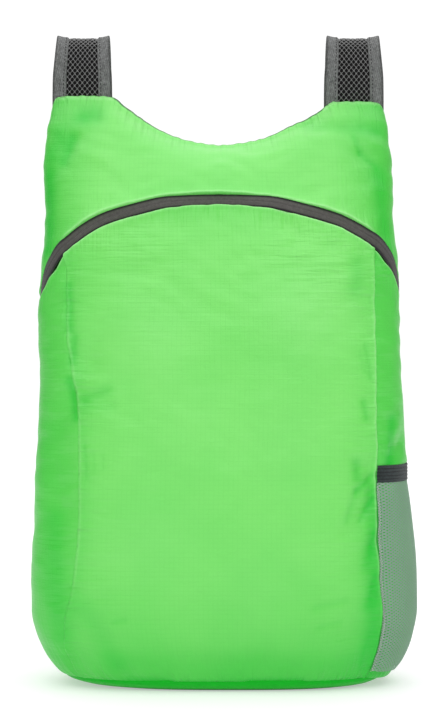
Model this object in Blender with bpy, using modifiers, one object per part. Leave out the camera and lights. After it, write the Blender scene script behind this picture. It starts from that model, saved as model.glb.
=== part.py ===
"""Packable backpack: a stuffed ripstop bag that stands on its base, closed by an arched zip, with
two padded shoulder straps folded over backwards and a net pocket on one side."""

import math

import bmesh
import bpy
import numpy as np
from mathutils import Matrix, Vector

# Lengths are metres. +X is the viewer's right, the front faces -Y, and the base stands on z = 0.
SHOULDER_HEIGHT = 0.420
BODY_WIDTH = 0.256
BODY_DEPTH = 0.128
NECK_DEPTH = 0.035
TIP_RADIUS = 0.0022
CLOTH = 0.0010
SEAM_GAP = 0.0004
SEAM_PULL = 0.0012
CROWN_GAP = 0.0006
BOTTOM_SEAM_HEIGHT = 0.0126
TOUCH_GAP = 0.0003

ZIP_BAND = 0.0094
ZIP_RAISE = 0.0005
SLIDER_LENGTH = 0.011
SLIDER_WIDTH = 0.0085
SLIDER_THICK = 0.0030
PULL_LENGTH = 0.024
PULL_WIDTH = 0.0050
PULL_THICK = 0.0014

POCKET_HEIGHT = 0.145
POCKET_BULGE = 0.0066
NET = 0.0010
ELASTIC_BAND = 0.0135
ELASTIC_THICK = 0.0016

STRAP_WIDTH = 0.0420
STRAP_SPREAD_SHARE = 0.383
STRAP_PAD_THICK = 0.0050
PAD_EDGE_THICK = 0.0022
STRAP_CUP = 0.0026
BINDING_WIDTH = 0.0095
BINDING = 0.0008
WEBBING_WIDTH = 0.0200
WEBBING = 0.0012
WEBBING_TAIL = 0.055
WEBBING_LEAD = 0.012
LOCK_BAR = 0.0026
LOCK_SLOT = 0.0052
LOCK_SIDE = 0.0032
LOCK_REACH = 0.014
LOCK_PLAY = 0.0009
LOCK_CORNER = 0.0020
SLOT_CORNER = 0.0008
LOOP_SEWN_GAP = 0.0015
FOLD_WIDTH = 0.0100
FOLD_DEPTH = 0.0040

# One row for each section of the body, from the base up.
# height: share of SHOULDER_HEIGHT. width: share of BODY_WIDTH. front, back: how far the two faces
# lie ahead of and behind the middle, as shares of BODY_DEPTH. square: 2 is oval, more is boxier.
# lean: how far the section sits to the right, share of BODY_WIDTH.
SECTION_COLUMNS = ("height", "width", "front", "back", "square", "lean")
SECTIONS = (
    (0.000, 0.640, 0.312, 0.312, 2.6, 0.036),
    (0.005, 0.755, 0.360, 0.352, 2.7, 0.026),
    (0.017, 0.862, 0.402, 0.387, 2.8, 0.016),
    (0.035, 0.922, 0.434, 0.410, 2.9, 0.010),
    (0.060, 0.975, 0.469, 0.434, 3.0, 0.005),
    (0.090, 1.016, 0.496, 0.449, 3.1, 0.002),
    (0.130, 1.041, 0.516, 0.461, 3.2, 0.000),
    (0.200, 1.045, 0.531, 0.469, 3.2, 0.000),
    (0.300, 1.036, 0.539, 0.465, 3.2, 0.000),
    (0.420, 1.028, 0.527, 0.453, 3.1, 0.000),
    (0.550, 1.010, 0.492, 0.430, 3.0, 0.001),
    (0.660, 0.998, 0.434, 0.395, 2.9, 0.000),
    (0.700, 0.990, 0.406, 0.382, 2.9, 0.000),
    (0.740, 0.974, 0.375, 0.367, 2.8, 0.001),
    (0.800, 0.977, 0.312, 0.344, 2.7, 0.000),
    (0.854, 0.974, 0.242, 0.316, 2.6, 0.000),
    (0.900, 0.967, 0.184, 0.289, 2.5, 0.000),
    (0.940, 0.956, 0.117, 0.258, 2.4, 0.000),
    (0.965, 0.947, 0.047, 0.227, 2.3, 0.000),
    (0.985, 0.936, -0.035, 0.184, 2.3, 0.000),
    (0.998, 0.927, -0.084, 0.150, 2.3, 0.000),
    (1.000, 0.919, -0.117, 0.117, 2.3, 0.000),
)

# How deep the neckline is cut, from the left shoulder's tip to the right one's.
# across: share of the shoulder's half width. depth: share of NECK_DEPTH.
NECKLINE_COLUMNS = ("across", "depth")
NECKLINE = (
    (-1.000, 0.000),
    (-0.670, 0.000),
    (-0.620, 0.060),
    (-0.580, 0.180),
    (-0.525, 0.316),
    (-0.470, 0.450),
    (-0.412, 0.583),
    (-0.338, 0.720),
    (-0.240, 0.853),
    (-0.129, 0.945),
    (0.010, 1.000),
    (0.165, 0.945),
    (0.285, 0.853),
    (0.378, 0.720),
    (0.455, 0.583),
    (0.523, 0.450),
    (0.578, 0.316),
    (0.628, 0.180),
    (0.665, 0.060),
    (0.700, 0.000),
    (1.000, 0.000),
)
NECK_REACH_SHARE = 0.26
NECK_FADE = 1.6

# Round the body a station of 0 is the front's middle, 1 the front seam, 2 the back seam and 3 the
# back's middle, and it is negative on the viewer's left. The seams lie at this share of the width.
SEAM_SHARE = 0.86

# Where the two front seams run, which the stuffing pushes to and fro.
# height: share of SHOULDER_HEIGHT. left, right: the station at which each seam lies.
SEAM_COLUMNS = ("height", "left", "right")
SEAM_LINES = (
    (0.00, 1.000, 1.000),
    (0.05, 1.000, 1.015),
    (0.10, 0.955, 1.005),
    (0.18, 0.875, 0.978),
    (0.26, 0.845, 0.970),
    (0.36, 0.855, 0.978),
    (0.44, 0.868, 0.958),
    (0.52, 0.925, 0.960),
    (0.60, 0.960, 0.972),
    (0.68, 0.985, 0.985),
    (0.74, 1.000, 1.000),
    (1.00, 1.000, 1.000),
)

# The zip's arch. station: round the body. height: share of SHOULDER_HEIGHT.
ZIP_COLUMNS = ("station", "height")
ZIP_ARCH = (
    (-2.00, 0.5960),
    (-1.50, 0.6400),
    (-1.30, 0.6690),
    (-1.12, 0.7060),
    (-1.00, 0.7385),
    (-0.80, 0.7755),
    (-0.55, 0.8020),
    (-0.30, 0.8235),
    (0.00, 0.8305),
    (0.30, 0.8250),
    (0.55, 0.8040),
    (0.80, 0.7790),
    (1.00, 0.7500),
    (1.12, 0.7235),
    (1.30, 0.6860),
    (1.50, 0.6550),
    (2.00, 0.6080),
)

# Folds and dents of the stuffed cloth, each a hollow along a straight line on the body.
# Its two ends are given by station and share of SHOULDER_HEIGHT.
# width: share of FOLD_WIDTH. depth: share of FOLD_DEPTH.
FOLD_COLUMNS = ("station_1", "height_1", "station_2", "height_2", "width", "depth")
FOLDS = (
    (-0.85, 0.970, -0.58, 0.900, 1.00, 1.00),
    (-0.95, 0.930, -1.05, 0.870, 0.80, 0.80),
    (0.74, 0.960, 1.02, 0.950, 0.95, 0.90),
    (0.84, 0.935, 1.02, 0.865, 0.85, 0.85),
    (-0.80, 0.570, -0.86, 0.515, 1.10, 1.10),
    (-0.91, 0.510, -0.97, 0.440, 0.90, 0.85),
    (-0.97, 0.380, -0.92, 0.290, 1.00, 0.65),
    (0.88, 0.390, 0.97, 0.350, 1.00, 1.05),
    (0.98, 0.345, 0.80, 0.275, 0.90, 0.80),
    (1.20, 0.425, 1.08, 0.380, 0.80, 0.65),
    (-0.76, 0.130, -0.96, 0.055, 1.20, 0.90),
    (0.76, 0.130, 0.96, 0.055, 1.20, 0.90),
    (-0.40, 0.055, 0.30, 0.055, 1.10, 0.45),
    (-0.76, 0.755, -0.32, 0.785, 0.90, 0.50),
    (0.36, 0.780, 0.78, 0.735, 0.90, 0.50),
    (-0.64, 0.690, -0.36, 0.705, 0.90, 0.40),
    (1.50, 0.270, 1.50, 0.130, 3.20, 0.90),
    (-1.50, 0.500, -1.40, 0.250, 2.60, 0.90),
    (1.45, 0.620, 1.50, 0.460, 2.40, 0.75),
    (-2.75, 0.700, 2.75, 0.700, 1.80, 0.90),
    (-2.60, 0.410, 2.55, 0.430, 1.80, 0.85),
    (-2.50, 0.170, 2.60, 0.160, 1.80, 0.65),
)

# How far the net pocket bulges, from the bottom seam up to its elastic band.
# height: share of the net's height. bulge: share of POCKET_BULGE.
POCKET_COLUMNS = ("height", "bulge")
POCKET_PROFILE = (
    (0.00, 0.60),
    (0.06, 0.92),
    (0.15, 1.10),
    (0.28, 1.12),
    (0.42, 1.03),
    (0.60, 0.87),
    (0.80, 0.55),
    (0.90, 0.32),
    (1.00, 0.00),
)
# The pocket's sides stay clear of the gusset's seams by this share of the gusset.
POCKET_MARGIN = 0.02
POCKET_ROUNDNESS = 0.7

# The middle line of a shoulder strap, from its root in the neckline seam over the fold and down.
# back: distance behind the root, share of BODY_DEPTH. height: share of SHOULDER_HEIGHT.
# out: how far it swings away sideways, share of STRAP_WIDTH. cup: share of STRAP_CUP.
# width: share of STRAP_WIDTH, less where its edges curl up.
STRAP_COLUMNS = ("back", "height", "out", "cup", "width")
STRAP_ROOT_RISE = 0.0005
STRAP_PATH = (
    (0.000, 1.0000, 0.00, 0.1, 1.03),
    (0.006, 1.0286, 0.00, 0.4, 1.02),
    (0.027, 1.0595, 0.00, 0.8, 0.97),
    (0.070, 1.0857, 0.00, 1.0, 0.93),
    (0.148, 1.0988, 0.01, 1.0, 0.92),
    (0.234, 1.0905, 0.02, 0.9, 0.93),
    (0.305, 1.0643, 0.03, 0.6, 0.95),
    (0.367, 1.0190, 0.05, 0.3, 0.98),
    (0.445, 0.9476, 0.07, 0.1, 1.00),
    (0.539, 0.8524, 0.09, 0.0, 1.00),
    (0.605, 0.7381, 0.10, 0.0, 1.00),
    (0.633, 0.6190, 0.12, 0.0, 1.00),
    (0.617, 0.5119, 0.13, 0.0, 1.00),
    (0.574, 0.4286, 0.14, 0.0, 1.00),
)

# Across a strap's pad, from its middle out to the binding.
# across: share of the way to the binding. plump: share of STRAP_PAD_THICK.
PAD_COLUMNS = ("across", "plump")
PAD_PROFILE = (
    (0.0, 1.0),
    (0.7, 0.9),
)
BINDING_CLEAR_SHARE = 0.04

# Where the lower webbing is sewn on, by station and shares of SHOULDER_HEIGHT from its upper end.
WEBBING_STATION = 2.12
WEBBING_SEWN = (0.085, 0.060, 0.035)
# Where the zip's slider is parked.
SLIDER_STATION = -1.83

FRONT_COLUMNS = 22
GUSSET_COLUMNS = 6
BACK_COLUMNS = 14
LOWER_ROWS = 17
YOKE_ROWS = 7
BASE_ROWS = 3
NET_COLUMNS = 10
NET_ROWS = 11
STRAP_STATIONS = 25
STRAP_FOLD_STEPS = 0.45

MATERIALS = {
    "ripstop_green": ((0.17, 0.80, 0.13), 0.48, 0.0),
    "zip_grey": ((0.075, 0.072, 0.068), 0.60, 0.0),
    "slider_metal": ((0.10, 0.10, 0.10), 0.35, 0.8),
    "pocket_net": ((0.30, 0.36, 0.32), 0.70, 0.0),
    "elastic_slate": ((0.035, 0.048, 0.047), 0.75, 0.0),
    "spacer_mesh": ((0.050, 0.050, 0.050), 0.80, 0.0),
    "binding_grey": ((0.15, 0.155, 0.15), 0.72, 0.0),
    "webbing_grey": ((0.060, 0.062, 0.060), 0.70, 0.0),
    "buckle_plastic": ((0.020, 0.020, 0.021), 0.40, 0.0),
}


def clear_scene():
    for old in list(bpy.data.objects):
        bpy.data.objects.remove(old, do_unlink=True)


def make_collection(name):
    collection = bpy.data.collections.new(name)
    bpy.context.scene.collection.children.link(collection)
    return collection


def make_materials():
    made = {}
    for name, (colour, roughness, metallic) in MATERIALS.items():
        material = bpy.data.materials.new(name)
        material.use_nodes = True
        shader = material.node_tree.nodes["Principled BSDF"]
        shader.inputs["Base Color"].default_value = (*colour, 1.0)
        shader.inputs["Roughness"].default_value = roughness
        shader.inputs["Metallic"].default_value = metallic
        made[name] = material
    return made


def column(rows, names, name):
    return np.array([row[names.index(name)] for row in rows])


def smooth_row(at, xs, ys):
    """Reads a table between its rows, on a curve that never overshoots them."""
    steps = np.diff(xs)
    slopes = np.diff(ys) / steps
    tangents = np.zeros(len(xs))
    tangents[0] = slopes[0]
    tangents[-1] = slopes[-1]
    both = slopes[:-1] * slopes[1:] > 0
    means = 2 * slopes[:-1] * slopes[1:] / np.where(both, slopes[:-1] + slopes[1:], 1.0)
    tangents[1:-1] = np.where(both, means, 0.0)
    at = np.clip(at, xs[0], xs[-1])
    low = np.clip(np.searchsorted(xs, at, side="right") - 1, 0, len(steps) - 1)
    step = steps[low]
    u = (at - xs[low]) / step
    start = (1 + 2 * u) * (1 - u) ** 2 * ys[low] + u * (1 - u) ** 2 * step * tangents[low]
    end = u * u * (3 - 2 * u) * ys[low + 1] - u * u * (1 - u) * step * tangents[low + 1]
    return start + end


def section(height):
    """Half width, middle, half depth and shape of the body at a share of its height."""
    heights = column(SECTIONS, SECTION_COLUMNS, "height")

    def read(name):
        return smooth_row(height, heights, column(SECTIONS, SECTION_COLUMNS, name))

    front = read("front") * BODY_DEPTH
    back = read("back") * BODY_DEPTH
    half_width = read("width") * BODY_WIDTH / 2
    half_depth = (front + back) / 2 + CROWN_GAP / 2
    tip = 2 * half_width * TIP_RADIUS / half_depth**2
    return half_width, (back - front) / 2, half_depth, read("square"), tip, read("lean") * BODY_WIDTH


def neck_drop(across, height):
    """How far the scooped neckline pulls a point of the body down."""
    reach = np.clip((height - 1 + NECK_REACH_SHARE) / NECK_REACH_SHARE, 0, 1) ** NECK_FADE
    shares = column(NECKLINE, NECKLINE_COLUMNS, "across")
    depths = column(NECKLINE, NECKLINE_COLUMNS, "depth")
    return NECK_DEPTH * reach * smooth_row(across, shares, depths)


def plain_body(station, height):
    """Points of the body before its folds, for arrays of stations and shares of its height."""
    half_width, middle, half_depth, square, tip, lean = section(height)
    side = np.sign(station)
    round_the_body = np.abs(station)
    on_face = (round_the_body <= 1) | (round_the_body >= 2)
    from_middle = np.where(round_the_body <= 1, round_the_body, 3 - round_the_body)
    across = np.where(on_face, from_middle * SEAM_SHARE, 0)
    face_depth = (1 - across ** (square + tip)) ** (1 / square)
    facing = np.where(round_the_body < 1.5, -1, 1)
    seam_depth = (1 - SEAM_SHARE ** (square + tip)) ** (1 / square)
    gusset_depth = (2 * np.clip(round_the_body, 1, 2) - 3) * seam_depth
    deep = np.where(on_face, facing * face_depth, gusset_depth)
    gusset_across = (1 - np.abs(gusset_depth) ** square) ** (1 / (square + tip))
    across = np.where(on_face, across, gusset_across)
    x = side * across * half_width + lean
    y = middle + deep * half_depth
    z = height * SHOULDER_HEIGHT - neck_drop(side * across, height)
    return np.stack([x, y, z], axis=-1)


def outward(station, height, step=0.004):
    """The directions square to the body, facing out."""
    low = np.clip(height - step, 0, 1)
    high = np.clip(height + step, 0, 1)
    up = plain_body(station, high) - plain_body(station, low)
    bend = 2 * step
    after = plain_body(np.where(station + bend > 3, station + bend - 6, station + bend), height)
    before = plain_body(np.where(station - bend < -3, station - bend + 6, station - bend), height)
    normal = np.cross(after - before, up)
    return normal / np.linalg.norm(normal, axis=-1, keepdims=True)


def fold_depth(points):
    """How deep the folds press the cloth in at these points."""
    depth = np.zeros(points.shape[:-1])
    for row in FOLDS:
        fold = dict(zip(FOLD_COLUMNS, row))
        stations = np.array([fold["station_1"], fold["station_2"]])
        heights = np.array([fold["height_1"], fold["height_2"]])
        ends = plain_body(stations, heights)
        along = ends[1] - ends[0]
        share = np.clip((points - ends[0]) @ along / (along @ along), 0, 1)
        apart = points - ends[0] - share[..., None] * along
        away = np.linalg.norm(apart, axis=-1)
        spread = fold["width"] * FOLD_WIDTH
        deepest = fold["depth"] * FOLD_DEPTH
        depth += deepest * np.exp(-((away / spread) ** 2)) * (0.5 + 2 * share * (1 - share))
    return depth


def body(station, height, lift=0.0):
    """Points on the cloth's outer face, or raised above it."""
    points = plain_body(station, height)
    pressed = fold_depth(points)
    return points + outward(station, height) * (lift - pressed)[..., None]


def zip_edge(station, side):
    """Share of the height at the zip band's upper (1), middle (0) or lower (-1) edge."""
    stations = column(ZIP_ARCH, ZIP_COLUMNS, "station")
    heights = column(ZIP_ARCH, ZIP_COLUMNS, "height")

    def arch(at):
        return smooth_row(at, stations, heights)

    step = 0.01
    station = np.clip(station, -2 + step, 2 - step)
    height = arch(station)
    along = plain_body(station + step, arch(station + step))
    along = along - plain_body(station - step, arch(station - step))
    along = along / np.linalg.norm(along, axis=-1, keepdims=True)
    up = (plain_body(station, height + step) - plain_body(station, height - step)) / (2 * step)
    across = np.linalg.norm(np.cross(up, along), axis=-1)
    return height + side * ZIP_BAND / 2 / across


def seamed(station, height):
    """Stations moved round the body, so that station 1 follows the front seams."""
    heights = column(SEAM_LINES, SEAM_COLUMNS, "height")
    left = smooth_row(height, heights, column(SEAM_LINES, SEAM_COLUMNS, "left"))
    right = smooth_row(height, heights, column(SEAM_LINES, SEAM_COLUMNS, "right"))
    seam = np.where(station < 0, left, right)
    round_the_body = np.abs(station)
    on_gusset = seam + (round_the_body - 1) * (2 - seam)
    moved = np.where(round_the_body < 1, round_the_body * seam, on_gusset)
    return np.sign(station) * moved


def open_seams(grid, gap):
    """Draws the border of a grid of points in, so that its neighbours stay clear of it."""
    moved = grid.copy()
    for edge, inner in ((np.s_[0], np.s_[1]), (np.s_[-1], np.s_[-2])):
        for turned in (moved, moved.transpose(1, 0, 2)):
            step = turned[inner] - turned[edge]
            length = np.linalg.norm(step, axis=-1, keepdims=True)
            turned[edge] += step / length * gap / 2
    return moved


def pull_seams(grid, station, height, sides):
    """Sinks the chosen borders of a grid into the body, as a sewn seam does."""
    inward = outward(station, height) * SEAM_PULL
    for side in sides:
        grid[side] -= inward[side]
    return grid


def cloth_mesh(name, grid, closed=False):
    """A sheet of quads through rows of points. Rows go up and columns to the viewer's right."""
    mesh = bpy.data.meshes.new(name)
    work = bmesh.new()
    verts = [[work.verts.new(point) for point in row] for row in grid]
    for low, high in zip(verts, verts[1:]):
        columns = len(low) if closed else len(low) - 1
        for i in range(columns):
            after = (i + 1) % len(low)
            work.faces.new((low[i], low[after], high[after], high[i]))
    if closed:
        work.faces.new(list(reversed(verts[0])))
    for face in work.faces:
        face.smooth = True
    work.to_mesh(mesh)
    work.free()
    return mesh


def add_piece(name, mesh, material, thickness=None, offset=-1.0, plump=None):
    """A named object, with a wall of the given thickness. plump: the wall's share at each point."""
    piece = bpy.data.objects.new(name, mesh)
    mesh.materials.append(material)
    pack.objects.link(piece)
    if thickness is None:
        return piece
    wall = piece.modifiers.new("wall", "SOLIDIFY")
    wall.thickness = thickness
    wall.offset = offset
    wall.use_rim = True
    if plump is not None:
        group = piece.vertex_groups.new(name="plump")
        for index, share in enumerate(np.ravel(plump)):
            group.add([index], float(share), "REPLACE")
        wall.vertex_group = group.name
    return piece


def between(low, high, shares):
    """Rows of heights from a lower to an upper edge."""
    return low + (high - low) * np.asarray(shares)[:, None]


def front_stations():
    return np.linspace(-1, 1, FRONT_COLUMNS + 1)


def gusset_stations(side):
    stations = np.linspace(1, 2, GUSSET_COLUMNS + 1)
    return stations if side > 0 else -stations[::-1]


def back_stations():
    stations = np.linspace(2, 4, BACK_COLUMNS + 1)
    return np.where(stations > 3, stations - 6, stations)


def lower_shares():
    return np.linspace(0, 1, LOWER_ROWS + 1)


def crown_shares():
    return np.sin(np.linspace(0, math.pi / 2, YOKE_ROWS + 1))


def lower_panel(name, stations, seams):
    """A cloth from the bottom seam up to the zip."""
    bottom = BOTTOM_SEAM_HEIGHT / SHOULDER_HEIGHT
    heights = between(bottom, zip_edge(stations, -1), lower_shares())
    grid_stations = seamed(np.broadcast_to(stations, heights.shape), heights)
    grid = body(grid_stations, heights)
    grid = pull_seams(grid, grid_stations, heights, seams)
    mesh = cloth_mesh(name, open_seams(grid, SEAM_GAP))
    return add_piece(name, mesh, materials["ripstop_green"], CLOTH)


def make_lower_panels():
    everywhere = np.s_[:, 0], np.s_[:, -1]
    lower_panel("front_panel", front_stations(), everywhere)
    lower_panel("side_gusset_left", gusset_stations(-1), everywhere)
    lower_panel("side_gusset_right", gusset_stations(1), everywhere)


def round_the_yoke():
    """Stations from one back seam round the front to the other."""
    return np.concatenate([gusset_stations(-1)[:-1], front_stations(), gusset_stations(1)[1:]])


def make_yoke():
    stations = round_the_yoke()
    low = zip_edge(stations, 1)
    heights = between(low, 1.0, crown_shares())
    grid_stations = np.broadcast_to(stations, heights.shape)
    grid = body(grid_stations, heights)
    grid = pull_seams(grid, grid_stations, heights, (np.s_[:-2, 0], np.s_[:-2, -1]))
    mesh = cloth_mesh("yoke", open_seams(grid, SEAM_GAP))
    return add_piece("yoke", mesh, materials["ripstop_green"], CLOTH)


def make_zip_band():
    stations = round_the_yoke()
    heights = between(zip_edge(stations, -1), zip_edge(stations, 1), (0, 0.5, 1))
    lift = np.zeros(heights.shape)
    lift[1] = ZIP_RAISE
    grid = body(np.broadcast_to(stations, heights.shape), heights, lift)
    mesh = cloth_mesh("zip_band", open_seams(grid, SEAM_GAP))
    return add_piece("zip_band", mesh, materials["zip_grey"], CLOTH)


def make_back_panel():
    """The back cloth, whose rows meet those of the gussets, the zip and the yoke at its seams."""
    stations = back_stations()
    bottom = BOTTOM_SEAM_HEIGHT / SHOULDER_HEIGHT
    zip_low = float(zip_edge(np.array([2.0]), -1)[0])
    zip_high = float(zip_edge(np.array([2.0]), 1)[0])
    lower = bottom + (zip_low - bottom) * lower_shares()
    upper = zip_high + (1 - zip_high) * crown_shares()
    heights = between(0.0, 1.0, np.concatenate([lower, upper]))
    heights = np.broadcast_to(heights, (heights.shape[0], len(stations)))
    grid_stations = np.broadcast_to(stations, heights.shape)
    grid = body(grid_stations, heights)
    grid = pull_seams(grid, grid_stations, heights, (np.s_[:-2, 0], np.s_[:-2, -1]))
    mesh = cloth_mesh("back_panel", open_seams(grid, SEAM_GAP))
    return add_piece("back_panel", mesh, materials["ripstop_green"], CLOTH)


def make_bottom_panel():
    """The base cloth: flat on the floor, and rounded up to the seam that runs all round it."""
    stations = np.concatenate([round_the_yoke()[:-1], back_stations()[:-1]])
    seam = BOTTOM_SEAM_HEIGHT / SHOULDER_HEIGHT
    heights = between(0.0, seam, np.linspace(0, 1, BASE_ROWS + 1) ** 2)
    heights = np.broadcast_to(heights, (BASE_ROWS + 1, len(stations)))
    grid = body(np.broadcast_to(stations, heights.shape), heights)
    grid[0, :, 2] = 0.0
    rim = grid[-2] - grid[-1]
    grid[-1] += rim / np.linalg.norm(rim, axis=-1, keepdims=True) * SEAM_GAP
    mesh = cloth_mesh("bottom_panel", grid, closed=True)
    return add_piece("bottom_panel", mesh, materials["ripstop_green"], CLOTH)


def make_pocket():
    """The net pocket on the right gusset and the elastic band round its mouth."""
    across = np.linspace(POCKET_MARGIN, 1 - POCKET_MARGIN, NET_COLUMNS + 1)
    swell = np.sin(np.pi * across) ** POCKET_ROUNDNESS

    def sheet(low, high, shares, stand_off, bulge):
        heights = between(low, high, shares) / SHOULDER_HEIGHT
        heights = np.broadcast_to(heights, (len(shares), len(across)))
        stations = seamed(np.broadcast_to(1 + across, heights.shape), heights)
        lift = stand_off + swell * np.asarray(bulge)[:, None]
        return plain_body(stations, heights) + outward(stations, heights) * lift[..., None]

    up = np.linspace(0, 1, NET_ROWS + 1)
    profile = column(POCKET_PROFILE, POCKET_COLUMNS, "height")
    full = smooth_row(up, profile, column(POCKET_PROFILE, POCKET_COLUMNS, "bulge"))
    low = BOTTOM_SEAM_HEIGHT + SEAM_GAP
    grid = sheet(low, POCKET_HEIGHT - SEAM_GAP, up, TOUCH_GAP + NET, POCKET_BULGE * full)
    net = cloth_mesh("mesh_pocket", grid)
    add_piece("mesh_pocket", net, materials["pocket_net"], NET)
    top = POCKET_HEIGHT + ELASTIC_BAND
    grid = sheet(POCKET_HEIGHT, top, (0, 0.5, 1), TOUCH_GAP + ELASTIC_THICK, (0, 0, 0))
    band = cloth_mesh("pocket_elastic", grid)
    add_piece("pocket_elastic", band, materials["elastic_slate"], ELASTIC_THICK)


def strap_route():
    """Places along a strap: how far back, how high, how far out, how cupped and how wide."""
    back = column(STRAP_PATH, STRAP_COLUMNS, "back") * BODY_DEPTH
    height = column(STRAP_PATH, STRAP_COLUMNS, "height") * SHOULDER_HEIGHT
    out = column(STRAP_PATH, STRAP_COLUMNS, "out") * STRAP_WIDTH
    cup = column(STRAP_PATH, STRAP_COLUMNS, "cup") * STRAP_CUP
    width = column(STRAP_PATH, STRAP_COLUMNS, "width")
    steps = np.hypot(np.diff(back), np.diff(height))
    lengths = np.concatenate([[0], np.cumsum(steps)])
    share = np.linspace(0, 1, STRAP_STATIONS)
    at = lengths[-1] * (STRAP_FOLD_STEPS * share + (1 - STRAP_FOLD_STEPS) * share**2)
    return [smooth_row(at, lengths, values) for values in (back, height, out, cup, width)]


def strap_frames(side):
    """For each place along a strap its middle, its outward normal, its cup and its width."""
    back, height, out, cup, width = strap_route()
    _, root, _, _, _, _ = section(np.array([1.0]))
    middles = np.empty((len(back), 3))
    middles[:, 0] = side * (STRAP_SPREAD_SHARE * BODY_WIDTH + out)
    middles[:, 1] = root[0] + back
    middles[:, 2] = height + STRAP_ROOT_RISE
    along = np.gradient(middles, axis=0)
    along /= np.linalg.norm(along, axis=1, keepdims=True)
    normals = np.cross(np.array([1.0, 0.0, 0.0]), along)
    normals /= np.linalg.norm(normals, axis=1, keepdims=True)
    return middles, normals, cup, width


def make_strap(side, word):
    """A spacer mesh strap with a binding tape folded round each long edge."""
    middles, normals, cups, widths = strap_frames(side)
    side_gap = TOUCH_GAP + PAD_EDGE_THICK * STRAP_CUP / (STRAP_WIDTH / 2)
    pad_half = STRAP_WIDTH / 2 - side_gap - BINDING
    thin = PAD_EDGE_THICK / STRAP_PAD_THICK
    bound = 1 - BINDING_WIDTH / pad_half
    thinned = bound - BINDING_CLEAR_SHARE
    shares = column(PAD_PROFILE, PAD_COLUMNS, "across") * thinned
    half = np.array([*shares, thinned, 1])
    across = np.concatenate([-half[:0:-1], half])
    half = np.array([*column(PAD_PROFILE, PAD_COLUMNS, "plump"), thin, thin])
    plump = np.concatenate([half[:0:-1], half])

    def place(offset_across, offset_out):
        cupped = cups[:, None] * (offset_across / pad_half) ** 2 + offset_out
        grid = middles[:, None] + normals[:, None] * cupped[..., None]
        grid[..., 0] += offset_across * widths[:, None]
        return grid

    grid = place(across * pad_half, np.zeros(len(across)))
    plump = np.tile(plump, (len(grid), 1))
    plump[[0, -1]] = thin
    pad = cloth_mesh(f"strap_pad_{word}", grid)
    add_piece(f"strap_pad_{word}", pad, materials["spacer_mesh"], STRAP_PAD_THICK, 0.0, plump)
    inner = PAD_EDGE_THICK / 2 + TOUCH_GAP
    turn = pad_half + side_gap
    fold_across = np.array([pad_half * bound, turn, turn, pad_half * bound])
    fold_out = np.array([-inner, -inner, inner, inner])
    for hand, place_word in ((1, "outer"), (-1, "inner")):
        edge = side * hand
        grid = place(edge * fold_across, fold_out)
        if edge > 0:
            grid = grid[:, ::-1]
        name = f"strap_binding_{word}_{place_word}"
        add_piece(name, cloth_mesh(name, grid), materials["binding_grey"], BINDING, 1.0)


def pad_end(side):
    """Where a strap's pad ends, and the directions down the webbing and away from the bag."""
    middles, _, _, _ = strap_frames(side)
    end = middles[-1]
    target = body(np.array([side * WEBBING_STATION]), np.array(WEBBING_SEWN[:1]))[0]
    down = target - end
    down /= np.linalg.norm(down)
    out = np.cross(np.array([1.0, 0.0, 0.0]), down)
    out /= np.linalg.norm(out)
    return end, down, -out


def webbing_strip(name, path, thickness, across=None):
    """Flat webbing along a path of points, as wide as the webbing is."""
    path = np.asarray(path)
    half = WEBBING_WIDTH / 2
    directions = np.tile([1.0, 0.0, 0.0], (len(path), 1)) if across is None else np.asarray(across)
    grid = np.stack([path + directions * half, path - directions * half], axis=1)
    return add_piece(name, cloth_mesh(name, grid), materials["webbing_grey"], thickness, 0.0)


def hairpin(start, turn, radius, steps=8):
    """Points in the plane along and out of the webbing: up one side of a bar and down the other."""
    arc = np.linspace(-math.pi / 2, math.pi / 2, steps + 1)
    sign = 1 if turn > start else -1
    bend = [(turn + sign * radius * math.cos(a), radius * math.sin(a)) for a in arc]
    return [(start, -radius), *bend]


def make_ladder_lock(side, word):
    """A ladder lock frame with three bars, the webbing loop that holds it and the webbing it locks."""
    end, down, out = pad_end(side)
    round_bar = LOCK_BAR * math.sqrt(0.5) + TOUCH_GAP + WEBBING / 2
    top_bar = LOCK_REACH
    middle_bar = top_bar + LOCK_BAR + LOCK_SLOT
    bottom_bar = middle_bar + LOCK_BAR + LOCK_SLOT

    def place(points):
        return [end + down * along + out * away for along, away in points]

    loop = hairpin(LOOP_SEWN_GAP, top_bar, round_bar)
    loop.append((LOOP_SEWN_GAP, round_bar))
    webbing_strip(f"buckle_loop_{word}", place(loop), WEBBING)

    slot_half = WEBBING_WIDTH / 2 + LOCK_PLAY
    curve = bpy.data.curves.new(f"ladder_lock_{word}", "CURVE")
    curve.dimensions = "2D"
    curve.fill_mode = "BOTH"
    curve.extrude = LOCK_BAR / 2
    outer = slot_half + LOCK_SIDE
    ends = top_bar - LOCK_BAR / 2, bottom_bar + LOCK_BAR / 2
    slots = [(top_bar + LOCK_BAR / 2, middle_bar - LOCK_BAR / 2)]
    slots.append((middle_bar + LOCK_BAR / 2, bottom_bar - LOCK_BAR / 2))
    for half, (low, high) in [(outer, ends), *[(slot_half, slot) for slot in slots]]:
        spline = curve.splines.new("POLY")
        cut = SLOT_CORNER if half < outer else LOCK_CORNER
        corners = [(-half + cut, low), (half - cut, low), (half, low + cut), (half, high - cut)]
        corners += [(half - cut, high), (-half + cut, high), (-half, high - cut), (-half, low + cut)]
        spline.points.add(len(corners) - 1)
        for point, (x, y) in zip(spline.points, corners):
            point.co = (x, y, 0, 1)
        spline.use_cyclic_u = True
    lock = bpy.data.objects.new(f"ladder_lock_{word}", curve)
    curve.materials.append(materials["buckle_plastic"])
    right = Vector((1, 0, 0))
    turn = Matrix((right, Vector(down), right.cross(Vector(down)))).transposed()
    lock.matrix_world = Matrix.Translation(end) @ turn.to_4x4()
    pack.objects.link(lock)
    make_lower_webbing(side, word, place, middle_bar, round_bar)


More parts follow.
